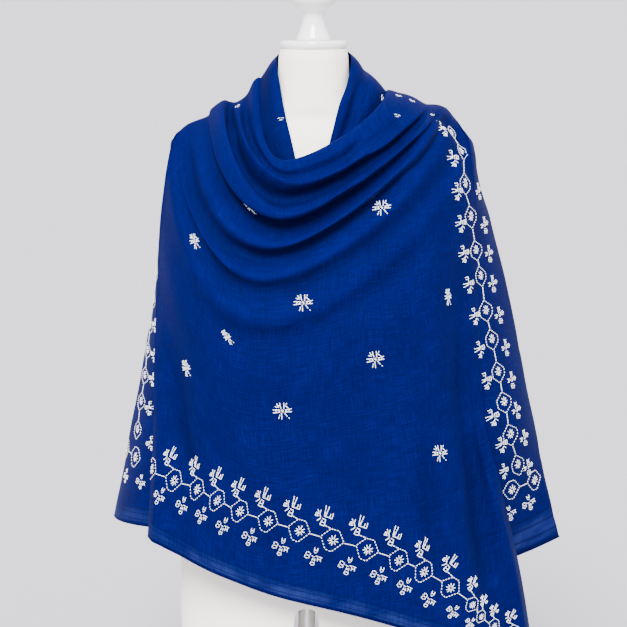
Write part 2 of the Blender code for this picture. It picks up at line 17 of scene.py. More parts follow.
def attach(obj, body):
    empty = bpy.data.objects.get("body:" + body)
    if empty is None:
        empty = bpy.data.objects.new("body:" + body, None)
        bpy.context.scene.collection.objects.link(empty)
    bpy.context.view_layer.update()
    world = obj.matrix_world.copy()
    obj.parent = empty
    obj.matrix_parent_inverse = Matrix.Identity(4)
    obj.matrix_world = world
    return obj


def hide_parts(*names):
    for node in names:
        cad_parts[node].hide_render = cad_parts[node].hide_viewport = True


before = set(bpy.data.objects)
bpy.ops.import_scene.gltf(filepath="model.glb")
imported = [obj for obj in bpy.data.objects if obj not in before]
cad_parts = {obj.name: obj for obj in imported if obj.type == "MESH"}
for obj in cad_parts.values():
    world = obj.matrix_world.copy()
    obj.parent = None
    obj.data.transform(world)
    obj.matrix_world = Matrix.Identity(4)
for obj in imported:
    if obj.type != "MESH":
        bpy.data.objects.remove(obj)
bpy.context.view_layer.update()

# Sizes shared with the solids
NECK_X = 0.010         # the neck's axis stands this far right of the pole's
PLAN, BACK_PLAN = 2.5, 2.3   # roundness of the front and the back from above; 2 is an ellipse
SHOULDER_Y = 0.0       # where the front and the back meet
OVER_SHOULDER = 0.034  # how far the side stretches reach behind that line
BASE_R, BASE_H = 0.160, 0.016
POLE_R = 0.0125
CROTCH_Z, LEG_END_Z = 0.305, 0.200
CLEFT_TOP_W, CLEFT_FOOT_W = 0.034, 0.052   # the cleft between the two thigh ends
CLEFT_ROUND = 0.012    # height of the cleft's arch
PLATE_Z, PLATE_H, PLATE_R = 1.1013, 0.012, 0.0483
DISC_EDGE, DISC_STEPS = 0.005, 8   # rounding of the neck cap and the base
SEAM = 0.0003          # gap between two parts that stand on each other

FINIAL = (  # radius, height over the plate
    (0.0246, 0.0000), (0.0240, 0.0035), (0.0205, 0.0120), (0.0168, 0.0230), (0.0155, 0.0330),
    (0.0170, 0.0390), (0.0225, 0.0440), (0.0290, 0.0500), (0.0330, 0.0580), (0.0340, 0.0660),
    (0.0325, 0.0760), (0.0275, 0.0860), (0.0190, 0.0935), (0.0095, 0.0970))

FORM = (
    # height, half width, front, back, middle
    (1.1010, 0.0465, 0.0465, 0.0465, NECK_X),
    (1.0900, 0.0500, 0.0500, 0.0500, NECK_X),
    (1.0600, 0.0505, 0.0505, 0.0510, NECK_X),
    (1.0330, 0.0540, 0.0530, 0.0560, NECK_X),
    (1.0180, 0.0680, 0.0540, 0.0610, NECK_X),
    (1.0080, 0.0900, 0.0530, 0.0650, NECK_X),
    (0.9980, 0.1220, 0.0570, 0.0700, NECK_X),
    (0.9850, 0.1550, 0.0640, 0.0760, NECK_X),
    (0.9700, 0.1710, 0.0700, 0.0820, NECK_X),
    (0.9500, 0.1795, 0.0770, 0.0850, NECK_X),
    (0.9250, 0.1810, 0.0860, 0.0870, NECK_X),
    (0.8950, 0.1740, 0.0970, 0.0880, NECK_X),
    (0.8600, 0.1680, 0.1120, 0.0870, NECK_X),
    (0.8250, 0.1580, 0.1170, 0.0850, 0.0095),
    (0.7850, 0.1460, 0.1120, 0.0810, 0.0085),
    (0.7300, 0.1280, 0.0980, 0.0750, 0.0070),
    (0.6700, 0.1170, 0.0890, 0.0720, 0.0050),
    (0.6050, 0.1150, 0.0870, 0.0750, 0.0030),
    (0.5400, 0.1320, 0.0910, 0.0850, 0.0010),
    (0.4700, 0.1630, 0.0960, 0.0960, 0.0),
    (0.4050, 0.1810, 0.0980, 0.1020, 0.0),
    (0.3500, 0.1860, 0.0960, 0.1000, 0.0),
    (0.2800, 0.1860, 0.0910, 0.0930, 0.0),
    (0.2200, 0.1840, 0.0870, 0.0880, 0.0),
    (LEG_END_Z, 0.1780, 0.0820, 0.0830, 0.0))
FORM_PLAN = 2.25       # roundness of its rings

ROWS = (
    # name, left_x, left_z, low_x, low_z, depth, right_x, right_z, round_l, round_r, front_l, front_r
    ("tuck", -0.0735, 1.047, -0.037, 0.930, 0.1020, 0.0985, 1.022, 2.70, 1.35, 0.000, 0.000),
    ("rim", -0.0755, 1.060, -0.035, 0.951, 0.1130, 0.1040, 1.042, 2.70, 1.30, 0.000, 0.000),
    ("face", -0.0850, 1.056, -0.033, 0.939, 0.1230, 0.1220, 1.039, 2.40, 1.30, 0.000, 0.000),
    ("valley a", -0.0955, 1.036, -0.028, 0.929, 0.1210, 0.1400, 1.034, 2.20, 1.30, 0.000, 0.000),
    ("ridge b", -0.1095, 1.026, -0.022, 0.9175, 0.1290, 0.1580, 1.024, 1.70, 1.25, 0.000, 0.000),
    ("valley b", -0.1185, 1.026, -0.034, 0.8970, 0.1165, 0.1640, 1.0225, 2.10, 1.25, 0.000, 0.000),
    ("roll in", -0.1290, 1.028, -0.036, 0.8810, 0.1380, 0.1700, 1.0225, 1.65, 1.25, 0.000, 0.000),
    ("roll out", -0.1460, 1.016, -0.036, 0.8715, 0.1430, 0.1755, 1.022, 1.95, 1.22, 0.000, 0.000),
    ("valley c", -0.1510, 1.006, -0.034, 0.8575, 0.1260, 0.1805, 1.021, 1.85, 1.22, 0.000, 0.000),
    ("ridge d", -0.1660, 1.000, -0.043, 0.8345, 0.1500, 0.1860, 1.019, 2.10, 1.25, 0.000, 0.000),
    ("valley d", -0.1800, 0.994, -0.058, 0.8175, 0.1380, 0.1920, 1.015, 2.10, 1.30, 0.000, 0.000),
    ("ridge e", -0.1900, 0.986, -0.060, 0.791, 0.1540, 0.2000, 1.005, 2.10, 1.35, 0.000, 0.000),
    ("valley e", -0.1990, 0.976, -0.060, 0.769, 0.1480, 0.2100, 0.992, 1.90, 1.40, 0.120, 0.120),
    ("ridge f", -0.2060, 0.945, -0.062, 0.728, 0.1540, 0.2190, 0.972, 1.75, 1.40, 0.240, 0.290),
    ("valley f", -0.2115, 0.905, -0.063, 0.704, 0.1500, 0.2240, 0.945, 1.75, 1.40, 0.300, 0.345),
    ("ridge g", -0.2165, 0.860, -0.064, 0.656, 0.1530, 0.2270, 0.900, 1.75, 1.35, 0.330, 0.370),
    ("belly", -0.2200, 0.800, -0.060, 0.600, 0.1500, 0.2300, 0.815, 1.60, 1.30, 0.370, 0.420),
    ("waist", -0.2225, 0.745, -0.052, 0.545, 0.1480, 0.2360, 0.700, 1.45, 1.25, 0.430, 0.500),
    ("hip", -0.2260, 0.665, -0.046, 0.490, 0.1460, 0.2440, 0.580, 1.30, 1.20, 0.520, 0.620),
    ("thigh", -0.2285, 0.585, -0.043, 0.440, 0.1450, 0.2690, 0.480, 1.20, 1.20, 0.610, 0.600),
    ("border", -0.2335, 0.500, -0.041, 0.388, 0.1440, 0.3010, 0.355, 1.12, 1.20, 0.690, 0.500),
    ("hem", -0.2385, 0.416, -0.040, 0.333, 0.1430, 0.3270, 0.204, 1.05, 1.20, 0.750, 0.420))
RIM_ROW, LAST_ROW = 1, 21
TIP_ROW = 12           # below it the cloth falls past the shoulders' tips
SPLIT_ROW = 18         # below it the right end parts from the front
COLUMN_SPREAD = 1.35   # spreads the columns evenly along a row

OUTLINE = (
    # height, left silhouette, right silhouette
    (1.060, -0.1300, 0.150), (1.020, -0.1500, 0.180), (0.976, -0.1995, 0.222),
    (0.955, -0.2050, 0.231), (0.924, -0.2110, 0.235), (0.865, -0.2180, 0.253),
    (0.769, -0.2266, 0.278), (0.669, -0.2440, 0.299), (0.611, -0.2550, 0.311),
    (0.544, -0.2690, 0.326), (0.499, -0.2770, 0.335), (0.416, -0.2940, 0.3540),
    (0.387, -0.3000, 0.3625), (0.300, -0.3160, 0.374), (0.200, -0.3300, 0.390))

# A side stretch turns from over the shoulder to down the side between these rows
SHOULDER_ROWS = (TIP_ROW - 1.0, TIP_ROW + 0.5)
BACK_EDGE_IN = 0.004   # how far its back edge stands in from the silhouette
BACK_EDGE_DROP = 0.007   # and hangs lower behind the shoulder

RIGHT_END_HEM_Z = 0.387
RIGHT_END_INNER = (0.262, 0.358)   # the hidden start of its hem, in x and z
RIGHT_END_STEPS = (    # how far it is set behind the front, between which rows
    (0.0070, (SPLIT_ROW - 1.2, SPLIT_ROW)), (0.0080, (SPLIT_ROW, SPLIT_ROW + 1.5)))
RIGHT_REACH_LOSS = 0.85   # how much less it reaches behind further down
RIGHT_REACH_ROWS = (TIP_ROW + 1.0, TIP_ROW + 5.0)

LIP = 0.020            # width of the front that rolls back at its two free edges
LIP_IN, LIP_TURN = 0.0024, 0.004   # how far its edge moves in and behind
LIP_SWELL = 0.004      # and how far its middle stands out
RIGHT_LIP_ROWS = (SPLIT_ROW + 0.6, SPLIT_ROW + 2.0)
LEFT_LIP_ROWS = (TIP_ROW + 6.0, TIP_ROW + 8.0)

LEFT_HEM_Z = 0.4195
LEFT_HEM_ROWS = (19.0, LAST_ROW)
LEFT_SET_BACK = 0.014
LEFT_SET_BACK_ROWS = (TIP_ROW + 3.0, TIP_ROW + 6.5)
LEFT_INNER = 0.016     # how far the side stretch starts behind the fold
LEFT_INNER_ROWS = (TIP_ROW + 5.0, TIP_ROW + 7.0)
LEFT_RISE = 0.0095     # how much higher its hem starts than the front's corner

FRONT_FOLDS = (
    # place across, width, height, first row, last row
    (0.800, 0.045, 0.0050, 13.0, 22.5), (0.885, 0.040, -0.0060, 14.5, 22.5),
    (0.940, 0.030, 0.0040, 15.5, 21.0), (0.690, 0.060, 0.0030, 16.0, 22.5),
    (0.300, 0.070, 0.0035, 17.0, 22.5), (0.160, 0.055, -0.0040, 15.0, 22.5))
BACK_FOLDS = (
    (0.160, 0.060, 0.0080, 9.0, 24.0), (0.300, 0.055, -0.0070, 10.0, 24.0),
    (0.430, 0.070, 0.0090, 8.0, 24.0), (0.560, 0.050, -0.0080, 11.0, 24.0),
    (0.680, 0.060, 0.0080, 9.0, 24.0), (0.830, 0.055, -0.0060, 10.0, 24.0))
FOLD_FADE = 4.0        # rows over which a fold grows to its height

BACK_TOP_Z, BACK_HEM_Z = 1.037, 0.222
BACK_DEPTH = (
    # height, depth
    (1.060, 0.0880), (1.035, 0.0890), (1.000, 0.0880), (0.960, 0.0890), (0.930, 0.0900),
    (0.880, 0.0960), (0.800, 0.1010), (0.700, 0.1040), (0.600, 0.1070), (0.500, 0.1100),
    (0.400, 0.1160), (0.300, 0.1200), (0.200, 0.1230))
# How far the hem sags towards its lowest point, in even steps across the back
BACK_HEM_DIP = (0.0, 0.03, 0.10, 0.30, 0.66, 0.93, 1.0, 0.93, 0.72, 0.38, 0.0)
BACK_DIP_POWER = 1.5   # of the sine by which the rows higher up sag
LEFT_VENT, RIGHT_VENT = (0.030, 0.024), (-0.055, 0.050)   # the free edges' shift in x and y
LEFT_VENT_ROWS, RIGHT_VENT_ROWS = (16.5, LAST_ROW), (TIP_ROW + 0.5, LAST_ROW)

NECK_ROLL = (
    # inner_x, inner_y, inner_z, crest_x, crest_y, crest_z, outer_x, outer_y, outer_z
    (-0.0220, -0.0870, 0.938, -0.0370, -0.0890, 0.924, -0.0550, -0.0840, 0.914),
    (-0.0300, -0.0780, 0.974, -0.0460, -0.0820, 0.960, -0.0650, -0.0790, 0.942),
    (-0.0385, -0.0650, 1.008, -0.0540, -0.0690, 0.995, -0.0725, -0.0690, 0.970),
    (-0.0460, -0.0420, 1.046, -0.0605, -0.0440, 1.036, -0.0765, -0.0510, 1.000),
    (-0.0525, -0.0060, 1.084, -0.0640, -0.0040, 1.074, -0.0765, 0.0050, 1.058),
    (-0.0430, 0.0360, 1.096, -0.0560, 0.0480, 1.076, -0.0640, 0.0600, 1.032),
    (0.0000, 0.0535, 1.100, 0.0000, 0.0720, 1.082, 0.0000, 0.0855, 1.026),
    (0.0430, 0.0360, 1.098, 0.0640, 0.0480, 1.076, 0.0800, 0.0700, 1.024),
    (0.0535, -0.0060, 1.088, 0.0850, -0.0050, 1.062, 0.1060, 0.0040, 1.038),
    (0.0470, -0.0420, 1.054, 0.0740, -0.0430, 1.044, 0.0960, -0.0340, 1.006),
    (0.0360, -0.0650, 1.026, 0.0580, -0.0660, 1.012, 0.0760, -0.0600, 0.984),
    (0.0270, -0.0780, 0.992, 0.0450, -0.0790, 0.978, 0.0620, -0.0740, 0.956),
    (0.0180, -0.0870, 0.958, 0.0340, -0.0880, 0.944, 0.0500, -0.0850, 0.926))
ROLL_DIP = 0.005       # depth of the crease along the right half of the roll
ROLL_DIP_SHARE = 0.42  # how far across the roll the crease runs
ROLL_DIP_WIDTH = 0.14  # its width as a share of the roll's
ROLL_DIP_STATIONS = (5.5, 7.5)   # where it begins

# Finer steps of the sheet
ROW_STEP = 0.125
LEFT_COLUMNS, RIGHT_COLUMNS = 60, 84
SIDE_STEPS = 14
BACK_COLUMNS = 84
ROLL_STEP, ROLL_STEPS_ACROSS = 0.1, 24
CLOTH = 0.0006         # thickness of the sheet
CLEAR = 0.0022         # from the form to the sheet's outer face
CLEAR_REACH, CLEAR_PASSES = 0.02, 3
HEM_R = 0.0008         # of the rolled hem
SAME_PLACE = 0.0001    # nearer than this, two places are one
FORM_STEP, FORM_PASSES, FORM_SIDES = 0.2, 10, 96   # rows between rings, smoothing, sides
FORM_EDGE = 0.006      # rounding of the form's ends
CLEFT_BELOW, CLEFT_HALF_LENGTH = 0.01, 0.2   # the block that cuts the cleft

# Troughs under the cowl's crests: row, depth, rows above and rows below
FOLD_TROUGHS = (
    (5.15, 0.0060, 0.60, 0.45), (7.90, 0.0055, 0.40, 0.60), (9.95, 0.0050, 0.45, 0.70),
    (11.80, 0.0028, 0.50, 0.60))
TROUGH_START, TROUGH_END = (0.00, 0.16), (0.56, 0.82)   # places across where they fade
TROUGH_SPACING = 0.0125    # a row's height where a trough has its full depth
LOW_REACH, LOW_PASSES = 0.10, 40   # rounding of the rows' low points

# Painted shade in the folds and painted light on their crests, and the hems' sheer band
HOLLOW_DEPTH = 0.0035      # how deep a valley is where its painted shade is darkest
HOLLOW_REACH = 5           # width in steps of the surroundings that a valley is seen against
CREASE_PAINTED_SHADE = 75.0        # painted shade for each metre of a crease's depth, painted light for each metre of a ridge's height
ROLL_BACK_STATIONS = (4.0, 6.0)    # where the neck roll's left half passes into its right
ROLL_PAINTED_SHADE_LEFT, ROLL_PAINTED_SHADE_RIGHT = (0.20, 0.55), (0.60, 0.95)   # shares across where the neck roll's painted shade grows, towards its outer edge
RIGHT_SHEER = 0.5          # the right end's distances from its hem count half in its colour
NO_HEM = 1.0               # distance that stands for no hem nearby

# Smaller creases on the front, as seen from the front: height of the crease (less than 0 is
# a trough), width on its upper and its lower side, then x and z of the points it runs through
FRONT_CREASES = (
    (-0.0030, 0.007, 0.005, (0.009, 0.934, 0.039, 0.949, 0.069, 0.987, 0.078, 0.998)),
    (-0.0030, 0.006, 0.005, (0.039, 0.926, 0.069, 0.953, 0.099, 0.981, 0.118, 1.003)),
    (-0.0030, 0.006, 0.005, (0.021, 0.896, 0.054, 0.913, 0.083, 0.952)),
    (-0.0030, 0.006, 0.005, (0.083, 0.931, 0.123, 0.981, 0.145, 0.998, 0.165, 1.014)),
    (-0.0060, 0.006, 0.006, (
        0.065, 1.063, 0.0635, 1.047, 0.058, 1.0245, 0.053, 1.005, 0.046, 0.985)),
    (-0.0045, 0.005, 0.004, (
        -0.097, 1.0265, -0.0955, 1.005, -0.0885, 0.980, -0.0743, 0.956, -0.055, 0.938)),
    (-0.0040, 0.005, 0.005, (0.078, 1.060, 0.076, 1.045, 0.071, 1.028, 0.064, 1.010)),
    (0.0035, 0.010, 0.010, (0.166, 1.012, 0.151, 0.975, 0.132, 0.932, 0.120, 0.890)),
    (-0.0080, 0.008, 0.008, (0.173, 1.008, 0.192, 0.998, 0.207, 0.980, 0.216, 0.950, 0.222, 0.915)),
    (-0.0120, 0.015, 0.015, (0.205, 0.700, 0.225, 0.563, 0.238, 0.446, 0.246, 0.379, 0.254, 0.303)),
    (-0.0080, 0.015, 0.015, (0.160, 0.640, 0.164, 0.520, 0.170, 0.430, 0.178, 0.360)),
    (0.0030, 0.004, 0.004, (0.211, 0.521, 0.212, 0.485, 0.214, 0.450)),
    (0.0040, 0.012, 0.018, (-0.170, 0.800, -0.120, 0.752, -0.063, 0.735, -0.010, 0.752)),
    (-0.0050, 0.014, 0.014, (-0.180, 0.930, -0.165, 0.860, -0.135, 0.800, -0.100, 0.765)),
    (-0.0085, 0.016, 0.016, (-0.192, 0.700, -0.190, 0.600, -0.180, 0.540, -0.172, 0.500)))
BACK_CREASES = (  # the same, as seen from behind
    (0.0085, 0.012, 0.016, (
        -0.150, 0.985, -0.080, 0.930, 0.000, 0.915, 0.085, 0.940, 0.160, 0.990)),
    (-0.0080, 0.012, 0.010, (
        -0.120, 0.945, -0.060, 0.900, 0.010, 0.890, 0.080, 0.915, 0.130, 0.955)),
    (0.0075, 0.014, 0.018, (-0.160, 0.900, -0.080, 0.845, 0.010, 0.830, 0.110, 0.865)),
    (-0.0070, 0.014, 0.014, (-0.100, 0.810, -0.020, 0.785, 0.060, 0.795)),
    (0.0045, 0.016, 0.016, (-0.190, 0.880, -0.205, 0.740, -0.200, 0.600, -0.210, 0.460)),
    (-0.0085, 0.014, 0.014, (-0.165, 0.780, -0.170, 0.640, -0.162, 0.500, -0.168, 0.350)),
    (-0.0085, 0.014, 0.014, (0.165, 0.820, 0.172, 0.680, 0.166, 0.540, 0.175, 0.420)),
    (0.0045, 0.018, 0.018, (0.205, 0.840, 0.212, 0.700, 0.220, 0.560)),
    (-0.0080, 0.016, 0.020, (-0.060, 0.700, -0.052, 0.560, -0.066, 0.430, -0.060, 0.300)),
    (0.0070, 0.016, 0.016, (0.045, 0.640, 0.052, 0.500, 0.040, 0.380, 0.048, 0.280)))
CREASE_POINTS = 40
CREASE_FADE, CREASE_END = 0.3, 0.25   # share of its length where it fades, and what is left
FACING = (0.05, 0.45)      # how squarely the cloth faces the viewer where a crease shows

# Stitched motifs, charted in millimetres: a row for each stitch, from x, y to x, y, where x
# runs along the chain, or across the front, and y away from the nearest edge
MM = 0.001
REPEAT = 51.0
LOZENGE = (  # its corners
    (-18.8, 1.0), (-8.0, 15.2), (4.3, 15.4), (15.6, 1.0), (1.9, -16.7), (-8.0, -15.4))
LOZENGE_DASH, LOZENGE_GAP = 2.1, 2.8
DASH_MOST = 0.42           # half of the longest dash, as a share of its step
LINK = (16.6, -19.4)       # ends of a link along the chain, from the two lozenges' middles
LINK_STITCHES, LINK_GAPS = 4, (0.05, 0.85)
STEM_TOP, STEM_FOOT = (6.5, 17.5), (-8.0, 15.4)   # from the flower to the next lozenge
STEM_STITCHES, STEM_GAPS = 2, (0.1, 0.8)
STAR_ARMS = (  # angle in degrees, start, end
    (85, 2.0, 8.8), (126, 2.2, 8.0), (166, 3.0, 7.4), (198, 2.4, 8.8), (236, 2.2, 8.4),
    (266, 2.4, 8.8), (310, 2.2, 7.8), (352, 2.4, 8.0), (34, 2.2, 7.8))
STAR_SIZE = 0.9
UPPER_PLACE = (0.3, 29.0)           # from the middle between two lozenges
UPPER_FLOWER = (
    (0.3, 16.5, 1.0, 9.5), (1.1, 8.6, 1.7, 2.4), (5.2, 16.0, 4.8, 10.0), (4.6, 9.2, 4.2, 3.6),
    (1.4, 6.0, 4.2, 5.6), (1.6, 2.6, 4.6, 2.4), (1.9, 0.9, 8.0, 0.8), (8.6, 0.7, 14.1, 0.2),
    (13.6, 8.2, 13.9, 0.8), (10.3, 6.4, 10.0, 1.3), (-10.0, 7.8, -7.3, 4.7),
    (-5.2, 8.3, -5.4, 3.4), (-5.4, 3.0, -2.4, -2.6), (-10.5, 3.6, -11.5, -1.3),
    (-11.2, -1.4, -6.0, -0.6), (-10.4, 3.4, -6.2, 2.8), (-8.4, 2.9, -8.4, -1.0),
    (-6.6, -7.9, -2.4, -3.3), (0.4, -5.4, -0.9, -11.9), (5.5, -3.6, 5.8, -12.7),
    (0.4, -2.8, 5.3, -3.6), (-0.9, -12.0, 5.8, -12.8), (0.2, -8.0, 5.5, -8.2))
LOWER_PLACE = (5.4, -29.4)
LOWER_FLOWER = (
    (-12.2, 3.2, -12.7, -0.4), (-13.0, -2.0, -13.5, -5.2), (-5.9, 2.0, -6.3, -1.0),
    (-6.6, -2.4, -7.0, -5.2), (-10.6, 3.5, -7.6, 3.0), (-11.2, -1.2, -8.0, -1.5),
    (-11.8, -5.6, -8.7, -5.6), (-0.8, -3.6, -1.5, -7.2), (-1.8, -9.0, -2.5, -12.6),
    (2.4, -3.6, 2.9, -7.4), (3.1, -9.2, 3.5, -12.8), (0.0, -5.4, 1.4, -5.4),
    (-0.3, -9.6, 1.7, -9.6), (-1.1, -13.4, 2.2, -13.4), (2.4, 0.4, 6.2, 0.6),
    (7.8, 0.6, 12.2, 0.3), (6.0, -1.2, 6.6, -6.0), (10.4, -1.2, 11.4, -5.6),
    (7.4, -3.2, 9.4, -3.1), (-2.5, 11.8, -1.8, 6.4), (2.4, 12.2, 2.6, 6.4),
    (-0.9, 5.0, 1.7, 5.0), (-0.9, 8.8, 1.3, 8.8), (-3.2, -0.6, 0.8, -1.4))
SPRIG = (
    (-13.0, 2.2, -8.6, 2.1), (-7.9, 2.0, -3.6, 1.4), (-13.2, -2.1, -8.6, -2.0),
    (-7.9, -1.9, -3.4, -1.6), (-8.8, 2.0, -8.8, -2.0), (-4.6, 1.4, -4.6, -1.6),
    (4.0, 1.0, 8.0, 1.5), (8.7, 1.6, 12.8, 2.1), (3.6, -1.8, 8.0, -1.9), (8.7, -2.0, 12.6, -2.1),
    (9.0, 1.8, 9.0, -1.9), (5.0, 1.2, 5.0, -1.8), (-2.0, 3.2, -2.6, 7.2), (-2.7, 7.9, -3.2, 11.4),
    (-5.3, 4.8, -6.2, 7.6), (-6.4, 8.2, -7.3, 10.8), (-2.6, 7.8, -6.2, 7.4),
    (-9.8, 6.8, -6.8, 5.4), (2.0, 2.4, 2.3, 6.4), (2.4, 7.1, 2.6, 11.0), (5.6, 8.6, 6.4, 10.4),
    (5.4, 6.0, 8.4, 3.2), (2.4, 7.0, 5.6, 6.4), (-1.7, -3.0, -1.6, -6.8),
    (-1.5, -7.6, -1.8, -12.2), (-4.2, -5.8, -4.8, -8.0), (-5.2, -8.8, -6.2, -10.8),
    (2.8, -3.4, 4.4, -6.0), (4.8, -6.6, 6.0, -8.4), (8.0, -10.4, 8.9, -11.6),
    (-2.0, 0.4, 1.6, -0.4), (-0.6, 2.0, 0.6, -2.4))
FRAGMENT = ((-4.6, 1.5, -0.8, 1.8), (0.8, 1.7, 4.2, 1.0), (-2.6, -1.6, 1.6, -1.4))
DASH_R, BAR_R = 0.00058, 0.00060   # threads' radii in metres
DASH_LIFT, STAR_LIFT, BAR_LIFT = 0.0006, 0.0008, 0.0009   # their middles over the cloth
STITCH_DIP = -0.2          # how deep a stitch's ends dip, as a share of its lift
STITCH_REACH = 0.006       # a stitch further than this from the cloth is left out
THREAD_SIDES, HEM_SIDES = 5, 6
CHAIN_THIN, FLOWER_THIN, FRAGMENT_THIN = 0.55, 0.60, 0.70   # least shares of a radius
FLOWER_ALONG = {"front": 0.95, "left": 0.78}   # size along the chain of flowers set one by one

# Chains of lozenges. A row for each lozenge's middle: x and z as seen from the front or from
# behind, or y and z from a side, then the motifs' width across the chain as a share
BOTTOM_CHAIN = (
    (-0.2288, 0.5119, 1.0), (-0.1962, 0.4994, 1.0), (-0.1630, 0.4906, 1.0),
    (-0.1344, 0.4767, 1.0), (-0.1026, 0.4620, 1.0), (-0.0629, 0.4482, 1.0),
    (-0.0189, 0.4345, 1.0), (0.0278, 0.4203, 1.0), (0.0769, 0.4060, 1.0), (0.1210, 0.3900, 1.0),
    (0.1569, 0.3715, 1.0), (0.1949, 0.3460, 0.95), (0.2267, 0.3189, 0.7), (0.2397, 0.2994, 0.6),
    (0.2600, 0.2810, 0.7), (0.2880, 0.2660, 0.8))
RIGHT_CHAIN = (
    (0.2950, 0.5071, 0.75), (0.2823, 0.5548, 0.90), (0.2724, 0.6025, 0.90),
    (0.2635, 0.6459, 0.80), (0.2537, 0.6932, 0.80), (0.2446, 0.7349, 0.86),
    (0.2366, 0.7844, 0.70), (0.2292, 0.8214, 0.85), (0.2211, 0.8698, 0.85),
    (0.2125, 0.9166, 0.75), (0.2079, 0.9595, 0.55), (0.1947, 0.9849, 0.50))
RIGHT_INNER = (  # flowers beside it
    (0.2747, 0.4986, 0.5), (0.2705, 0.5395, 0.7), (0.2566, 0.5813, 0.8), (0.2463, 0.6337, 0.7),
    (0.2365, 0.6795, 0.7), (0.2288, 0.7271, 0.7), (0.2198, 0.7724, 0.7), (0.2119, 0.8165, 0.7),
    (0.2070, 0.8592, 0.7), (0.2016, 0.9044, 0.7), (0.1959, 0.9494, 0.7), (0.1817, 0.9896, 0.6))
RIGHT_OUTER = (
    (0.3114, 0.4991, 0.8), (0.3042, 0.5445, 0.8), (0.2916, 0.5864, 0.8), (0.2843, 0.6302, 0.8),
    (0.2753, 0.6770, 0.8), (0.2654, 0.7242, 0.9), (0.2552, 0.7700, 0.9), (0.2497, 0.8127, 0.9),
    (0.2429, 0.8537, 1.0), (0.2337, 0.9021, 1.0))
RIGHT_CORNER = ((0.2875, 0.4695, 0.9), (0.3230, 0.4770, 0.9))
RIGHT_LOWER = ((0.2841, 0.4339, 0.9), (0.3142, 0.4454, 0.9))
LEFT_CHAIN = (
    (-0.032, 0.5560, 0.70), (-0.024, 0.5960, 0.85), (-0.023, 0.6340, 0.9),
    (-0.023, 0.6710, 0.9), (-0.026, 0.7080, 0.9), (-0.032, 0.7460, 0.9), (-0.036, 0.7860, 0.9))
LEFT_INNER_FLOWERS = (
    (-0.066, 0.5409, 0.8), (-0.049, 0.5887, 0.8), (-0.048, 0.6309, 0.8),
    (-0.049, 0.6660, 0.8), (-0.050, 0.7098, 0.8))
LEFT_CORNER = ((0.000, 0.5200, 0.9), (-0.042, 0.5166, 0.9))
LEFT_LOWER = ((-0.024, 0.4853, 0.8), (-0.064, 0.4860, 0.8))
FRAGMENTS = (  # x, z, turn: the ends of sprigs that the folds hide
    (-0.0454, 1.0055, 10), (-0.1071, 1.0209, 70), (0.0976, 1.0328, 60), (0.1202, 1.0355, -20),
    (0.1391, 1.0286, -35), (0.1170, 1.0101, 0), (0.1676, 1.0104, 10))
FRONT_SPRIGS = (  # x, z, width as a share, turn in degrees
    (0.094, 0.888, 1.0, 0), (-0.014, 0.759, 1.0, 4), (0.086, 0.678, 0.95, 8),
    (-0.043, 0.607, 1.0, 4), (-0.178, 0.661, 0.7, 12), (-0.165, 0.839, 0.5, 20),
    (0.178, 0.541, 0.85, 6), (0.188, 0.760, 0.45, 4), (-0.088, 0.886, 0.4, 48),
    (-0.119, 0.710, 0.35, 35))
BACK_SPRIGS = (
    (-0.140, 0.900, 1.0, 0), (-0.015, 0.925, 1.0, 4), (0.105, 0.900, 1.0, -4),
    (-0.080, 0.805, 1.0, 2), (0.045, 0.800, 1.0, 0), (-0.150, 0.705, 1.0, 0),
    (-0.020, 0.690, 1.0, -3), (0.105, 0.700, 1.0, 2), (-0.085, 0.585, 1.0, 0),
    (0.045, 0.575, 1.0, 3), (-0.020, 0.460, 1.0, -2), (0.110, 0.470, 1.0, 0))
BACK_BORDER_UP, BACK_BORDER_IN = 0.096, 0.058   # from the back's hem and its free edge
BACK_BORDER_TOP = 0.905    # height where its upright chain goes under the shoulder's folds
BACK_BORDER_END = 0.8      # the hem's chain ends this share of BACK_BORDER_IN from the far edge

# The cloth's threads, in metres or for each metre
SLUBS_ALONG, SLUBS_ACROSS = 34.0, 640.0
WEAVE = 0.0008
DRAWN_THREADS = (0.0085, 0.0170, 0.0240)   # from the hem

LENS = 118.8
CAMERA_LIFT, CAMERA_DISTANCE, CAMERA_AIM_Z = 9.0, 3.0, 0.72
KEY_TURN, KEY_STRENGTH, KEY_SOFTNESS = (46, 0, -8), 12.0, 28
SKY_STRENGTH = 1.60


def spline(table, place):
    """Smooth curve through evenly numbered rows: place 2.5 is halfway from row 2 to row 3."""
    table = np.asarray(table, float)
    place = np.clip(np.asarray(place, float), 0.0, len(table) - 1.0)
    first = np.minimum(place.astype(int), len(table) - 2)
    part = (place - first)[..., None]
    before = table[np.maximum(first - 1, 0)]
    after = table[np.minimum(first + 2, len(table) - 1)]
    start, end = table[first], table[first + 1]
    slope_start, slope_end = (end - before) / 2, (after - start) / 2
    square, cube = part ** 2, part ** 3
    return ((2 * cube - 3 * square + 1) * start + (cube - 2 * square + part) * slope_start
            + (3 * square - 2 * cube) * end + (cube - square) * slope_end)


def by_height(table, height):
    """Smooth reading of a table whose first column is a falling height."""
    table = np.asarray(table, float)
    numbers = np.arange(len(table))
    place = np.interp(-np.asarray(height, float), -table[:, 0], numbers)
    return spline(table[:, 1:], place)


def smoothstep(low, high, value):
    """Soft step from 0 at low to 1 at high."""
    part = np.clip((np.asarray(value, float) - low) / (high - low), 0.0, 1.0)
    return part * part * (3 - 2 * part)


def bulge(ratio, power):
    """Rounded fall from 1 in the middle to 0 at a ratio of 1."""
    return (1 - np.clip(ratio, 0.0, 1.0) ** power) ** (1 / power)


def long_folds(folds, across, row):
    """Height of the long soft folds at a place across and a row."""
    height = 0.0
    for place, width, size, first, last in folds:
        shape = np.exp(-((across - place) / width) ** 2)
        height = height + size * shape * smoothstep(first, first + FOLD_FADE, row) * (row < last)
    return height


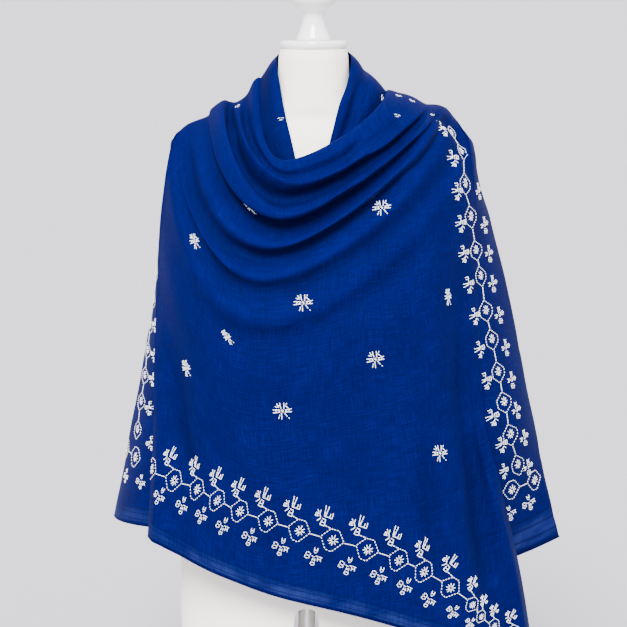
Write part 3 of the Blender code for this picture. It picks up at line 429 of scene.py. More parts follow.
def front_row(across, row):
    """Point of the front at across 0 to 1 (0.5 is the row's low point) on a row number."""
    across, row = np.broadcast_arrays(np.asarray(across, float), np.asarray(row, float))
    values = spline([entry[1:] for entry in ROWS], row)
    left_x, left_z, low_x, low_z, depth, right_x, right_z, round_l, round_r, front_l, front_r = (
        values[..., k] for k in range(11))
    on_left = across < 0.5
    edge_x = np.where(on_left, left_x, right_x)
    edge_z = np.where(on_left, left_z, right_z)
    power = np.where(on_left, round_l, round_r)
    share = np.abs(across - 0.5) * 2
    angle = math.pi / 2 * (1 - share) ** COLUMN_SPREAD
    radius = (np.cos(angle) ** power + np.abs(np.sin(angle)) ** power) ** (1 / power)
    x = low_x + (edge_x - low_x) * np.cos(angle) / radius
    z = edge_z + (low_z - edge_z) * np.sin(angle) / radius
    wide = bulge(np.where(on_left, front_l, front_r), PLAN)
    y = SHOULDER_Y - depth * bulge(np.abs((x - low_x) / (edge_x - low_x)) * wide, PLAN)
    return np.stack([x, y - long_folds(FRONT_FOLDS, across, row), z], axis=-1)


def lip(points, row, right):
    """Roll the free edge of the front back on itself, more and more down its open length."""
    rise = smoothstep(*(RIGHT_LIP_ROWS if right else LEFT_LIP_ROWS), row)[:, None]
    side = 1.0 if right else -1.0
    edge = points[:, -1:] if right else points[:, :1]
    from_edge = np.clip(1 - side * (edge[..., 0] - points[..., 0]) / LIP, 0.0, 1.0)
    rolled = points.copy()
    turn = rise * from_edge ** 3
    rolled[..., 0] -= side * LIP_IN * turn
    rolled[..., 1] += LIP_TURN * turn - LIP_SWELL * rise * np.sin(math.pi * from_edge) ** 2
    return rolled


def side_stretch(row, right):
    """Front edge and silhouette of a side stretch on each row, the row's low point and depth,
    how far the stretch is set back, and how far it has left the shoulder (0 to 1)."""
    values = spline([entry[1:] for entry in ROWS], row)
    low_x, depth = values[:, 2], values[:, 4]
    inner = front_row(np.full(row.shape, 1.0 if right else 0.0), row)
    below = smoothstep(*SHOULDER_ROWS, row)
    if right:
        start = front_row(np.array(1.0), np.array(float(SPLIT_ROW)))
        run = np.clip((row - SPLIT_ROW) / (LAST_ROW - SPLIT_ROW), 0.0, 1.0)
        apart = row > SPLIT_ROW
        outer_z = np.where(apart, start[2] + (RIGHT_END_HEM_Z - start[2]) * run, inner[:, 2])
        for axis, end in zip((0, 2), RIGHT_END_INNER):
            inner[:, axis] = np.where(apart, start[axis] + (end - start[axis]) * run,
                                      inner[:, axis])
        set_back = sum(size * smoothstep(*rows, row) for size, rows in RIGHT_END_STEPS)
        outer_x = by_height(OUTLINE, outer_z)[:, 1]
    else:
        at_hem = smoothstep(*LEFT_HEM_ROWS, row)
        inner[:, 0] += LEFT_INNER * smoothstep(*LEFT_INNER_ROWS, row)
        inner[:, 2] += LEFT_RISE * at_hem
        set_back = LEFT_SET_BACK * smoothstep(*LEFT_SET_BACK_ROWS, row)
        outer_z = inner[:, 2] + (LEFT_HEM_Z - inner[:, 2]) * at_hem
        outer_x = by_height(OUTLINE, outer_z)[:, 0]
    outer_x = inner[:, 0] + (outer_x - inner[:, 0]) * below
    outer = np.stack([outer_x, np.full(row.shape, SHOULDER_Y), outer_z], axis=-1)
    return inner, outer, low_x, depth, set_back, below


def side_back_edge(row, right):
    """Where a side stretch ends behind the silhouette."""
    _, outer, _, _, _, below = side_stretch(row, right)
    reach = OVER_SHOULDER * np.ones(row.shape)
    if right:
        reach = reach * (1 - RIGHT_REACH_LOSS * smoothstep(*RIGHT_REACH_ROWS, row))
    side = 1.0 if right else -1.0
    return outer + np.stack([-side * BACK_EDGE_IN * below, reach,
                             -BACK_EDGE_DROP * (1 - below)], axis=-1)


def side_grid(row, right, steps):
    """A side stretch from its front edge to its back edge: straight over the shoulder, and
    round the side below it."""
    inner, outer, low_x, depth, set_back, below = side_stretch(row, right)
    behind = side_back_edge(row, right)
    front = (SHOULDER_Y - inner[:, 1]) / depth
    bulge_x = low_x + (inner[:, 0] - low_x) / bulge(front, PLAN)
    columns = []
    for k in range(steps + 1):
        over_shoulder = inner + (behind - inner) * k / steps
        part = min(k / (steps - 1), 1.0)
        down_side = inner + (outer - inner) * part
        x = low_x + (bulge_x - low_x) * bulge(front * (1 - part), PLAN)
        down_side[:, 0] = x + (outer[:, 0] - bulge_x) * part
        down_side[:, 1] = SHOULDER_Y - (depth * front - set_back) * (1 - part)
        if k == steps:
            down_side = behind
        columns.append(over_shoulder + (down_side - over_shoulder) * below[:, None])
    return np.stack(columns, axis=1)


def back_grid(row, columns):
    """The back hangs between the back edges of the two side stretches."""
    left, right = side_back_edge(row, False), side_back_edge(row, True)
    left[:, :2] += smoothstep(*LEFT_VENT_ROWS, row)[:, None] * LEFT_VENT
    right[:, :2] += smoothstep(*RIGHT_VENT_ROWS, row)[:, None] * RIGHT_VENT
    step = np.linalg.norm(np.diff(left, axis=0), axis=1)
    down = np.concatenate([[0.0], np.cumsum(step)])
    down = (down / down[-1])[:, None]
    across = np.linspace(0.0, 1.0, columns + 1)[None, :]
    turn = math.pi * across
    centre_x = (left[:, :1] + right[:, :1]) / 2
    half = (right[:, :1] - left[:, :1]) / 2
    x = centre_x - half * np.cos(turn)
    edge_y, edge_z = (left[:, axis, None] * (1 - across) + right[:, axis, None] * across
                      for axis in (1, 2))
    hem_dip = spline(np.array(BACK_HEM_DIP)[:, None], across * (len(BACK_HEM_DIP) - 1))[..., 0]
    dip = np.sin(turn) ** BACK_DIP_POWER
    dip = dip + (hem_dip - dip) * down ** 2
    z = edge_z + (BACK_TOP_Z + (BACK_HEM_Z - BACK_TOP_Z) * down - edge_z) * dip
    depth = by_height(BACK_DEPTH, z)[..., 0]
    y = edge_y + (depth - edge_y) * np.sin(turn) ** (2 / BACK_PLAN)
    y = y + long_folds(BACK_FOLDS, across, row[:, None]) * np.sin(turn)
    return np.stack([x, y, z], axis=-1)


def grid_normals(grid):
    """Unit normals; down the rows crossed with along the columns."""
    down = np.gradient(grid, axis=0)
    along = np.gradient(grid, axis=1)
    normal = np.cross(along, down)
    return -normal / np.maximum(np.linalg.norm(normal, axis=-1, keepdims=True), 1e-9)


def roll_grid():
    """The roll round the neck, with a crease along its right half."""
    stations = np.arange(0.0, len(NECK_ROLL) - 1 + ROLL_STEP / 2, ROLL_STEP)
    rails = spline(NECK_ROLL, stations).reshape(len(stations), 3, 3)
    shares = np.linspace(0.0, 1.0, ROLL_STEPS_ACROSS + 1)
    grid = np.stack([spline(rail, shares * 2) for rail in rails])
    on_right = smoothstep(*ROLL_DIP_STATIONS, stations)[:, None]
    dip = ROLL_DIP * on_right * np.exp(-((shares - ROLL_DIP_SHARE) / ROLL_DIP_WIDTH) ** 2)
    return grid - grid_normals(grid) * dip[..., None]


def linked(name, data):
    """Put a mesh, a light or a camera in the scene."""
    thing = bpy.data.objects.new(name, data)
    bpy.context.scene.collection.objects.link(thing)
    return thing


def finished(thing):
    """Turn a thing and its modifiers into a plain mesh object of the same name."""
    graph = bpy.context.evaluated_depsgraph_get()
    mesh = bpy.data.meshes.new_from_object(thing.evaluated_get(graph))
    name = thing.name
    bpy.data.objects.remove(thing, do_unlink=True)
    mesh.name = name
    return linked(name, mesh)


# The sheet

def arc_length(points, axis):
    """How far each point lies from the first, along the grid's lines."""
    step = np.linalg.norm(np.diff(points, axis=axis), axis=-1)
    start = np.zeros_like(np.take(step, [0], axis=axis))
    return np.cumsum(np.concatenate([start, step], axis=axis), axis=axis)


def round_lows(front, across):
    """Round each row where its two sides meet at its low point."""
    front = front.copy()
    weight = (0.5 * np.exp(-((across[1:-1] - 0.5) / LOW_REACH) ** 2))[None, :, None]
    for _ in range(LOW_PASSES):
        between = (front[:, :-2] + front[:, 2:]) / 2
        front[:, 1:-1] += (between - front[:, 1:-1]) * weight
    return front


def press_troughs(front, across, rows):
    """Press the troughs in under the crests, less where the rows run close together."""
    spacing = np.linalg.norm(np.gradient(front, axis=0), axis=-1) / ROW_STEP
    ends = smoothstep(*TROUGH_START, across) * (1 - smoothstep(*TROUGH_END, across))
    depth = np.zeros(front.shape[:2])
    for row, size, above, below in FOLD_TROUGHS:
        away = rows - row
        shape = np.exp(-(away / np.where(away < 0, above, below)) ** 2)
        depth += size * shape[:, None] * ends[None, :]
    depth *= np.clip(spacing / TROUGH_SPACING, 0.0, 1.0)
    return front - grid_normals(front) * depth[..., None]


def sheet_stretches():
    """The stretches as grids of points, each with its places along and down the flat cloth
    in metres and its distance from the hem. The first four meet in a ring round the form."""
    rows = np.arange(0.0, LAST_ROW + ROW_STEP / 2, ROW_STEP)
    across = np.concatenate([np.linspace(0.0, 0.5, LEFT_COLUMNS + 1)[:-1],
                             np.linspace(0.5, 1.0, RIGHT_COLUMNS + 1)])
    front = front_row(across[None, :], rows[:, None])
    front = lip(lip(front, rows, True), rows, False)
    front = press_troughs(round_lows(front, across), across, rows)
    worn = rows[rows >= RIM_ROW]
    grids = {
        "left side": side_grid(worn, False, SIDE_STEPS)[:, ::-1],
        "front": front,
        "right end": side_grid(worn, True, SIDE_STEPS),
        "back": back_grid(worn, BACK_COLUMNS)[:, ::-1],
        "neck roll": roll_grid()}
    flat = {}
    for name, grid in grids.items():
        down = arc_length(grid, 0)
        flat[name] = (arc_length(grid, 1), down, down[-1:] - down)

    # The front is measured from its low points and the rim, and the sides go on from its edges
    rim = len(rows) - len(worn)
    along, down, from_hem = flat["front"]
    along, down = along - along[:, LEFT_COLUMNS:LEFT_COLUMNS + 1], down - down[rim]
    flat["front"] = (along, down, from_hem)
    for name, edge, shift in (("left side", 0, -flat["left side"][0][:, -1:]),
                              ("right end", -1, 0.0)):
        edge_along, edge_down = along[rim:, [edge]], down[rim:, [edge]]
        flat[name] = (edge_along + shift + flat[name][0],
                      np.repeat(edge_down, SIDE_STEPS + 1, axis=1), flat[name][2])
    return grids, flat


def painted_shade_of(name, grid):
    """Painted shade of a stretch's folds: 1 for the darkest painted shade deep in a valley, -1 for
    painted light on a crest.
    """
    rows, columns = grid.shape[:2]
    if name == "front":
        near = np.arange(-2 * HOLLOW_REACH, 2 * HOLLOW_REACH + 1)
        weights = np.exp(-(near / HOLLOW_REACH) ** 2)
        wide = np.pad(grid, ((2 * HOLLOW_REACH, 2 * HOLLOW_REACH), (0, 0), (0, 0)), mode="edge")
        smooth = sum(weight * wide[k:k + rows] for k, weight in enumerate(weights / weights.sum()))
        # front: painted shade where the cloth lies below its smoothed surface, painted light where
        # it lies above
        depth = ((smooth - grid) * grid_normals(grid)).sum(axis=-1)
        return np.clip(depth / HOLLOW_DEPTH, -1.0, 1.0)
    # neck roll: painted shade growing across it towards its outer edge, where it tucks under the
    # cowl's rim
    if name == "neck roll":
        share = np.linspace(0.0, 1.0, columns)
        left = 1 - smoothstep(*ROLL_BACK_STATIONS, np.arange(rows) * ROLL_STEP)[:, None]
        return left * smoothstep(*ROLL_PAINTED_SHADE_LEFT, share) + (
            (1 - left) * smoothstep(*ROLL_PAINTED_SHADE_RIGHT, share))
    return np.zeros((rows, columns))


def stitch_grids(grids, flat):
    """One mesh of all the stretches, joined where their edges meet. The neck roll stands free."""
    shape = bmesh.new()
    uv = shape.loops.layers.uv.new("flat cloth")
    # the third attribute carries the painted shade and painted light of the folds
    hem, behind, hollow = (shape.verts.layers.float.new(name)
                           for name in ("hem", "behind", "hollow"))
    rims = []
    for name, grid in grids.items():
        along, down, from_hem = flat[name]
        if name == "neck roll":
            from_hem = from_hem + NO_HEM
        if name == "right end":
            from_hem = from_hem * RIGHT_SHEER
        shade = painted_shade_of(name, grid)
        verts = [[shape.verts.new((x + NECK_X, y, z)) for x, y, z in row] for row in grid]
        for row, line in enumerate(verts):
            for column, vert in enumerate(line):
                vert[hem] = from_hem[row, column]
                vert[behind] = float(name == "back")
                vert[hollow] = shade[row, column]
        for row in range(len(grid) - 1):
            for column in range(grid.shape[1] - 1):
                corners = ((row, column), (row + 1, column),
                           (row + 1, column + 1), (row, column + 1))
                face = shape.faces.new([verts[r][c] for r, c in corners])
                face.smooth = True
                for loop, (r, c) in zip(face.loops, corners):
                    loop[uv].uv = (along[r, c], down[r, c])
        if name != "neck roll":
            rims += [line[end] for end in (0, -1) for line in verts]
    bmesh.ops.remove_doubles(shape, verts=rims, dist=SAME_PLACE)
    shape.verts.index_update()
    shape.normal_update()
    return shape


def crease_height(x, z, crease):
    """Height of one crease at each place, as seen from the front."""
    size, above, below, places = crease
    path = spline(np.array(places).reshape(-1, 2),
                  np.linspace(0, len(places) / 2 - 1, CREASE_POINTS))
    best = np.full(x.shape, 1e9)
    height = np.zeros(x.shape)
    run = np.linspace(0.0, 1.0, len(path))
    for k, (start, end) in enumerate(zip(path, path[1:])):
        step = end - start
        part = np.clip(((x - start[0]) * step[0] + (z - start[1]) * step[1]) / (step @ step), 0, 1)
        away_x, away_z = x - start[0] - part * step[0], z - start[1] - part * step[1]
        distance = np.hypot(away_x, away_z)
        width = np.where(away_z > 0, above, below)
        place = run[k] + part * (run[k + 1] - run[k])
        fade = smoothstep(0.0, CREASE_FADE, place) * (1 - smoothstep(1 - CREASE_FADE, 1.0, place))
        value = size * np.exp(-(distance / width) ** 2) * (CREASE_END + (1 - CREASE_END) * fade)
        height = np.where(distance < best, value, height)
        best = np.minimum(best, distance)
    return height


def add_creases(shape):
    """Raise the smaller creases on the cloth that faces the front or the back, with painted shade in
    their troughs and painted light on their ridges.
    """
    behind = shape.verts.layers.float["behind"]
    hollow = shape.verts.layers.float["hollow"]
    places = np.array([vert.co for vert in shape.verts])
    normals = np.array([vert.normal for vert in shape.verts])
    back = np.array([vert[behind] for vert in shape.verts])
    height = np.zeros(len(places))
    for creases, facing in ((FRONT_CREASES, smoothstep(*FACING, -normals[:, 1]) * (1 - back)),
                            (BACK_CREASES, smoothstep(*FACING, normals[:, 1]) * back)):
        for crease in creases:
            height += crease_height(places[:, 0] - NECK_X, places[:, 2], crease) * facing
    for vert, size in zip(shape.verts, height):
        vert.co += vert.normal * size
        # painted shade in a crease's trough, painted light on its ridge
        vert[hollow] = min(max(vert[hollow] - size * CREASE_PAINTED_SHADE, -1.0), 1.0)
    shape.normal_update()


def keep_clear(shape, tree):
    """Lift the sheet where it would lie in the form."""
    for _ in range(CLEAR_PASSES):
        for vert in shape.verts:
            spot, normal, _, distance = tree.find_nearest(vert.co)
            short = CLEAR - (vert.co - spot).dot(normal)
            if short > 0 and distance < CLEAR_REACH:
                vert.co += normal * short
    shape.normal_update()


def hem_lines(shape):
    """The rolled hems, as lines along the lower edges of the sheet."""
    hem = shape.verts.layers.float["hem"]
    hems = Threads("rolled_hems")
    for edge in shape.edges:
        first, second = edge.verts
        if edge.is_boundary and first[hem] < SAME_PLACE and second[hem] < SAME_PLACE:
            hems.add([first.co, second.co], HEM_R)
    return hems


def evenly(points, first, last):
    """Places one repeat apart along a line, as x, z and full width."""
    run = arc_length(points, 0)
    count = round((run[-1] - first - last) / (REPEAT * MM))
    places = [[np.interp(at, run, points[:, k]) for k in (0, 2)]
              for at in np.linspace(first, run[-1] - last, count + 1)]
    return [(x, z, 1.0) for x, z in places]


def back_chains(grid, along, from_hem):
    """The lozenges' middles down the back's free edge and along its hem."""
    edge = np.stack([[np.interp(BACK_BORDER_IN, along[row], grid[row, :, k]) for k in range(3)]
                     for row in range(len(grid)) if grid[row, 0, 2] < BACK_BORDER_TOP])
    hem = np.stack([[np.interp(-BACK_BORDER_UP, -from_hem[:, column], grid[:, column, k])
                     for k in range(3)] for column in range(grid.shape[1])])
    return (evenly(edge, 0.0, BACK_BORDER_UP + REPEAT * MM),
            evenly(hem, BACK_BORDER_IN, BACK_BORDER_IN * BACK_BORDER_END))


def make_sheet(form_tree):
    """The sheet with its face tree, its hems' lines and the places of the back's chains."""
    grids, flat = sheet_stretches()
    behind = back_chains(grids["back"], flat["back"][0], flat["back"][2])
    shape = stitch_grids(grids, flat)
    add_creases(shape)
    keep_clear(shape, form_tree)
    mesh = bpy.data.meshes.new("draped_shawl")
    shape.to_mesh(mesh)
    tree = BVHTree.FromBMesh(shape)
    hems = hem_lines(shape)
    shape.free()
    thing = linked("draped_shawl", mesh)
    wall = thing.modifiers.new("wall", "SOLIDIFY")
    wall.thickness = CLOTH
    wall.offset = -1.0
    sheet = finished(thing)
    sheet.data.shade_smooth()
    return sheet, tree, hems, behind


# The form and its stand

def skin(shape, rings):
    """Faces over rings of vertices that run from the bottom up, closed at both ends."""
    sides = len(rings[0])
    shape.faces.new(list(reversed(rings[0])))
    for low, high in zip(rings, rings[1:]):
        for k in range(sides):
            after = (k + 1) % sides
            shape.faces.new((low[k], low[after], high[after], high[k]))
    shape.faces.new(rings[-1])


def form_blank():
    """The form as smooth rings, with its faces as a search tree."""
    rings = spline(np.array(FORM), np.arange(0.0, len(FORM) - 1 + 0.05, FORM_STEP))
    for _ in range(FORM_PASSES):
        rings[1:-1] = (rings[:-2] + 2 * rings[1:-1] + rings[2:]) / 4
    shape = bmesh.new()
    verts = []
    for height, half, front, back, middle in rings:
        ring = []
        for k in range(FORM_SIDES):
            angle = 2 * math.pi * k / FORM_SIDES
            across, along = math.cos(angle), math.sin(angle)
            radius = (abs(across) ** FORM_PLAN + abs(along) ** FORM_PLAN) ** (-1 / FORM_PLAN)
            depth = back if along > 0 else front
            ring.append(shape.verts.new((middle + half * across * radius,
                                         depth * along * radius, height)))
        verts.append(ring)
    skin(shape, verts[::-1])
    mesh = bpy.data.meshes.new("form_cover")
    shape.to_mesh(mesh)
    shape.normal_update()
    tree = BVHTree.FromBMesh(shape)
    shape.free()
    return linked("form_cover", mesh), tree


def cleft_block():
    """The space between the thigh ends, as a block that runs right through."""
    foot, top, low = CLEFT_FOOT_W / 2, CLEFT_TOP_W / 2, LEG_END_Z - CLEFT_BELOW
    spring = CROTCH_Z - CLEFT_ROUND
    arch = [(top * math.cos(angle), spring + CLEFT_ROUND * math.sin(angle))
            for angle in np.linspace(0.0, math.pi, 9)]
    shape = bmesh.new()
    ring = [shape.verts.new((x, -CLEFT_HALF_LENGTH, z))
            for x, z in [(-foot, low), (foot, low)] + arch]
    grown = bmesh.ops.extrude_face_region(shape, geom=[shape.faces.new(ring)])
    moved = [item for item in grown["geom"] if isinstance(item, bmesh.types.BMVert)]
    bmesh.ops.translate(shape, verts=moved, vec=(0.0, 2 * CLEFT_HALF_LENGTH, 0.0))
    bmesh.ops.recalc_face_normals(shape, faces=shape.faces)
    mesh = bpy.data.meshes.new("cleft")
    shape.to_mesh(mesh)
    shape.free()
    return linked("cleft", mesh)


def make_form():
    """The form with its cleft and soft edges, and the tree of its faces."""
    thing, tree = form_blank()
    cutter = cleft_block()
    cut = thing.modifiers.new("cleft", "BOOLEAN")
    cut.operation = "DIFFERENCE"
    cut.solver = "EXACT"
    cut.object = cutter
    soften = thing.modifiers.new("soften", "BEVEL")
    soften.width = FORM_EDGE
    soften.segments = 3
    soften.limit_method = "ANGLE"
    soften.angle_limit = math.radians(50)
    form = finished(thing)
    bpy.data.objects.remove(cutter, do_unlink=True)
    form.data.shade_smooth()
    form.data.set_sharp_from_angle(angle=math.radians(40))
    return form, tree


def turned(name, profile, sides, centre_x):
    """Turned solid from (radius, height) points given from the bottom up."""
    shape = bmesh.new()
    skin(shape, [[shape.verts.new((centre_x + radius * math.cos(2 * math.pi * k / sides),
                                   radius * math.sin(2 * math.pi * k / sides), height))
                  for k in range(sides)] for radius, height in profile])
    mesh = bpy.data.meshes.new(name)
    shape.to_mesh(mesh)
    shape.free()
    mesh.shade_smooth()
    mesh.set_sharp_from_angle(angle=math.radians(35))
    return linked(name, mesh)


def rounded_disc(radius, low, height):
    """Profile of a disc with rounded edges."""
    turns = [math.pi / 2 * k / DISC_STEPS for k in range(DISC_STEPS + 1)]
    inner, high = radius - DISC_EDGE, low + height - DISC_EDGE
    return ([(inner + DISC_EDGE * math.sin(turn), low + DISC_EDGE - DISC_EDGE * math.cos(turn))
             for turn in turns]
            + [(inner + DISC_EDGE * math.cos(turn), high + DISC_EDGE * math.sin(turn))
               for turn in turns])


def make_stand():
    top = PLATE_Z + PLATE_H + SEAM
    knob = spline(np.array(FINIAL), np.arange(0.0, len(FINIAL) - 1 + 0.05, 0.2))
    knob = [(radius, top + height) for radius, height in knob]
    return (turned("neck_cap", rounded_disc(PLATE_R, PLATE_Z, PLATE_H), 96, NECK_X),
            turned("knob", knob, 96, NECK_X),
            turned("chrome_pole", [(POLE_R, BASE_H + SEAM), (POLE_R, CROTCH_Z - SEAM)], 64, 0.0),
            turned("chrome_base", rounded_disc(BASE_R, 0.0, BASE_H), 128, 0.0))


# Stitching

class Cloth:
    """The sheet's outer face: finds places on it."""

    def __init__(self, tree):
        self.tree = tree

    def seen(self, view, first, second):
        """The first place met from the front, from behind or from the left, and its normal."""
        start, way = {"front": ((first + NECK_X, -1.0, second), (0, 1, 0)),
                      "behind": ((first + NECK_X, 1.0, second), (0, -1, 0)),
                      "left": ((-1.0, first, second), (1, 0, 0))}[view]
        return self.tree.ray_cast(Vector(start), Vector(way))[:2]

    def nearest(self, place):
        spot, normal, _, distance = self.tree.find_nearest(place)
        return spot, normal, distance


def directions(normal, along):
    """Directions on the cloth along and across a motif."""
    across = normal.cross(along).normalized()
    return across.cross(normal).normalized(), across


def stitch(cloth, start, end, lift):
    """Points of one stitch from start to end, which dips into the cloth at both ends; none
    where the cloth doesn't reach."""
    points = []
    for place, height in ((start, STITCH_DIP), (start.lerp(end, 0.5), 1.0), (end, STITCH_DIP)):
        spot, normal, distance = cloth.nearest(place)
        if distance > STITCH_REACH:
            return None
        points.append(spot + normal * lift * height)
    return points


def dashes(points, dash, gap):
    """Split a closed outline into dashes of even length."""
    cuts = []
    for first, second in zip(points, points[1:] + points[:1]):
        first, second = np.array(first), np.array(second)
        length = np.linalg.norm(second - first)
        count = max(1, round(length / (dash + gap)))
        half = min(dash / length / 2, DASH_MOST / count)
        for k in range(count):
            middle = (k + 0.5) / count
            cuts.append((*(first + (second - first) * (middle - half)),
                         *(first + (second - first) * (middle + half))))
    return cuts


def star():
    """The bars of the star in a lozenge."""
    bars = []
    for angle, start, end in STAR_ARMS:
        across = STAR_SIZE * math.cos(math.radians(angle))
        up = STAR_SIZE * math.sin(math.radians(angle))
        bars.append((start * across, start * up, end * across, end * up))
    return bars


class Threads:
    """Collects stitches as short paths with a thickness."""

    def __init__(self, name):
        self.name = name
        self.points, self.edges, self.radii = [], [], []

    def add(self, path, radius):
        if path is None:
            return
        first = len(self.points)
        self.points += [tuple(point) for point in path]
        self.edges += [(first + k, first + k + 1) for k in range(len(path) - 1)]
        self.radii += [radius] * len(path)

    def motif(self, cloth, place, bars, radius, lift):
        """Stitch a chart at a place, given as its middle and its two directions per millimetre."""
        centre, along, across = place
        for a, b, c, d in bars:
            self.add(stitch(cloth, centre + along * a + across * b,
                            centre + along * c + across * d, lift), radius)

    def line(self, cloth, first, last, count, gaps, radius):
        """A line of even stitches; gaps are the shares of each step where its stitch lies."""
        for k in range(count):
            ends = (first.lerp(last, (k + share) / count) for share in gaps)
            self.add(stitch(cloth, *ends, DASH_LIFT), radius)

    def tubes(self, sides, material):
        mesh = bpy.data.meshes.new(self.name)
        mesh.from_pydata(self.points, self.edges, [])
        radius = mesh.attributes.new("thread_radius", "FLOAT", "POINT")
        radius.data.foreach_set("value", self.radii)
        return finished(with_tree(linked(self.name, mesh), thread_tree(), {
            "Sides": sides, "Thread": material}))


def with_tree(thing, tree, values):
    """Put a node tree on a thing and set its named inputs."""
    modifier = thing.modifiers.new(tree.name, "NODES")
    modifier.node_group = tree
    for item in tree.interface.items_tree:
        if item.item_type == "SOCKET" and item.in_out == "INPUT" and item.name in values:
            modifier[item.identifier] = values[item.name]
    return thing


def thread_tree():
    """Round threads along paths, as thick as each path says."""
    name = "threads along paths"
    if name in bpy.data.node_groups:
        return bpy.data.node_groups[name]
    tree = bpy.data.node_groups.new(name, "GeometryNodeTree")
    for socket, way, kind in (("Paths", "INPUT", "Geometry"), ("Sides", "INPUT", "Int"),
                              ("Thread", "INPUT", "Material"), ("Threads", "OUTPUT", "Geometry")):
        tree.interface.new_socket(socket, in_out=way, socket_type="NodeSocket" + kind)
    given, made, to_curve, circle, read, tube, smooth, real, paint = (
        tree.nodes.new(kind) for kind in (
            "NodeGroupInput", "NodeGroupOutput", "GeometryNodeMeshToCurve",
            "GeometryNodeCurvePrimitiveCircle", "GeometryNodeInputNamedAttribute",
            "GeometryNodeCurveToMesh", "GeometryNodeSetShadeSmooth",
            "GeometryNodeRealizeInstances", "GeometryNodeSetMaterial"))
    circle.inputs["Radius"].default_value = 1.0
    read.inputs["Name"].default_value = "thread_radius"
    tube.inputs["Fill Caps"].default_value = True
    for start, output, end, place in (
            (given, "Paths", to_curve, "Mesh"), (given, "Sides", circle, "Resolution"),
            (to_curve, "Curve", tube, "Curve"), (circle, "Curve", tube, "Profile Curve"),
            (read, "Attribute", tube, "Scale"), (tube, "Mesh", smooth, "Geometry"),
            (smooth, "Geometry", real, "Geometry"), (real, "Geometry", paint, "Geometry"),
            (given, "Thread", paint, "Material"), (paint, "Geometry", made, "Threads")):
        tree.links.new(start.outputs[output], end.inputs[place])
    return tree


def chain_units(cloth, view, chain):
    """Middle of each lozenge and its directions per millimetre, drawn in where the lozenges
    stand closer."""
    spots = [cloth.seen(view, first, second) for first, second, _ in chain]
    units = []
    for number, (spot, normal) in enumerate(spots):
        before, after = max(number - 1, 0), min(number + 1, len(spots) - 1)
        way = spots[after][0] - spots[before][0]
        share = way.length / (after - before) / (REPEAT * MM)
        along, across = directions(normal, way)
        units.append((spot, along * share * MM, across * chain[number][2] * MM))
    return units


def thinner(least, *sizes):
    """Thread for a motif that is drawn in: from the least share of it up to the whole."""
    return least + (1 - least) * min(size.length for size in sizes) / MM


def embroider_chain(cloth, threads, units, flowers=True):
    """Lozenges and links along a chain, and where wanted the flowers on its two sides."""
    lozenge = dashes(list(LOZENGE), LOZENGE_DASH, LOZENGE_GAP)
    for unit, following in zip(units, units[1:] + [None]):
        centre, along, across = unit
        thin = thinner(CHAIN_THIN, across, along)
        threads.motif(cloth, unit, lozenge, DASH_R * thin, DASH_LIFT)
        threads.motif(cloth, unit, star(), BAR_R * thin, STAR_LIFT)
        if not following:
            continue
        next_centre, next_along, next_across = following
        threads.line(cloth, centre + along * LINK[0], next_centre + next_along * LINK[1],
                     LINK_STITCHES, LINK_GAPS, DASH_R * thin)
        if not flowers:
            continue
        half_along, half_across = (along + next_along) / 2, (across + next_across) / 2
        middle = centre.lerp(next_centre, 0.5)
        for place, chart in ((UPPER_PLACE, UPPER_FLOWER), (LOWER_PLACE, LOWER_FLOWER)):
            heart, normal, _ = cloth.nearest(
                middle + half_along * place[0] + half_across * place[1])
            flower_along, flower_across = directions(normal, half_along)
            if flower_across.dot(half_across) < 0:
                flower_across.negate()
            flower = (heart, flower_along * half_along.length, flower_across * half_across.length)
            threads.motif(cloth, flower, chart, BAR_R * thin, BAR_LIFT)
        threads.line(cloth, middle + half_along * STEM_TOP[0] + half_across * STEM_TOP[1],
                     next_centre + next_along * STEM_FOOT[0] + next_across * STEM_FOOT[1],
                     STEM_STITCHES, STEM_GAPS, DASH_R)


def embroider_flowers(cloth, threads, view, places, chart, side):
    """Flowers one by one along a line, where side = -1 turns them to its other side."""
    for centre, along, across in chain_units(cloth, view, places):
        along = along.normalized() * FLOWER_ALONG[view] * MM
        radius = BAR_R * thinner(FLOWER_THIN, across)
        threads.motif(cloth, (centre, along, across * side), chart, radius, BAR_LIFT)


def embroider_sprigs(cloth, threads, view, places, chart, thin=1.0):
    """Sprigs one by one, each with its own width and turn."""
    for x, z, width, turn in places:
        spot, normal = cloth.seen(view, x, z)
        side = 1 if view == "front" else -1
        tilt = math.radians(turn)
        along, across = directions(normal, Vector((side * math.cos(tilt), 0.0, math.sin(tilt))))
        threads.motif(cloth, (spot, along * width * MM, across * MM), chart,
                      BAR_R * thin * (1 + width) / 2, BAR_LIFT)


def embroider(cloth, white, behind):
    border = Threads("border_embroidery")
    for view, chain in (("front", BOTTOM_CHAIN), ("behind", behind[0]), ("behind", behind[1])):
        embroider_chain(cloth, border, chain_units(cloth, view, chain))
    for view, chain in (("front", RIGHT_CHAIN), ("front", RIGHT_CORNER),
                        ("left", LEFT_CHAIN), ("left", LEFT_CORNER)):
        embroider_chain(cloth, border, chain_units(cloth, view, chain), False)
    for view, places, chart, side in (
            ("front", RIGHT_INNER, UPPER_FLOWER, 1), ("front", RIGHT_OUTER, LOWER_FLOWER, 1),
            ("front", RIGHT_LOWER, LOWER_FLOWER, 1), ("left", LEFT_INNER_FLOWERS, UPPER_FLOWER, -1),
            ("left", LEFT_LOWER, LOWER_FLOWER, 1)):
        embroider_flowers(cloth, border, view, places, chart, side)
    sprigs = Threads("sprig_embroidery")
    embroider_sprigs(cloth, sprigs, "front", FRONT_SPRIGS, SPRIG)
    embroider_sprigs(cloth, sprigs, "behind", BACK_SPRIGS, SPRIG)
    embroider_sprigs(cloth, sprigs, "front", [(x, z, 1.0, turn) for x, z, turn in FRAGMENTS],
                     FRAGMENT, FRAGMENT_THIN)
    return border.tubes(THREAD_SIDES, white), sprigs.tubes(THREAD_SIDES, white)


# Materials

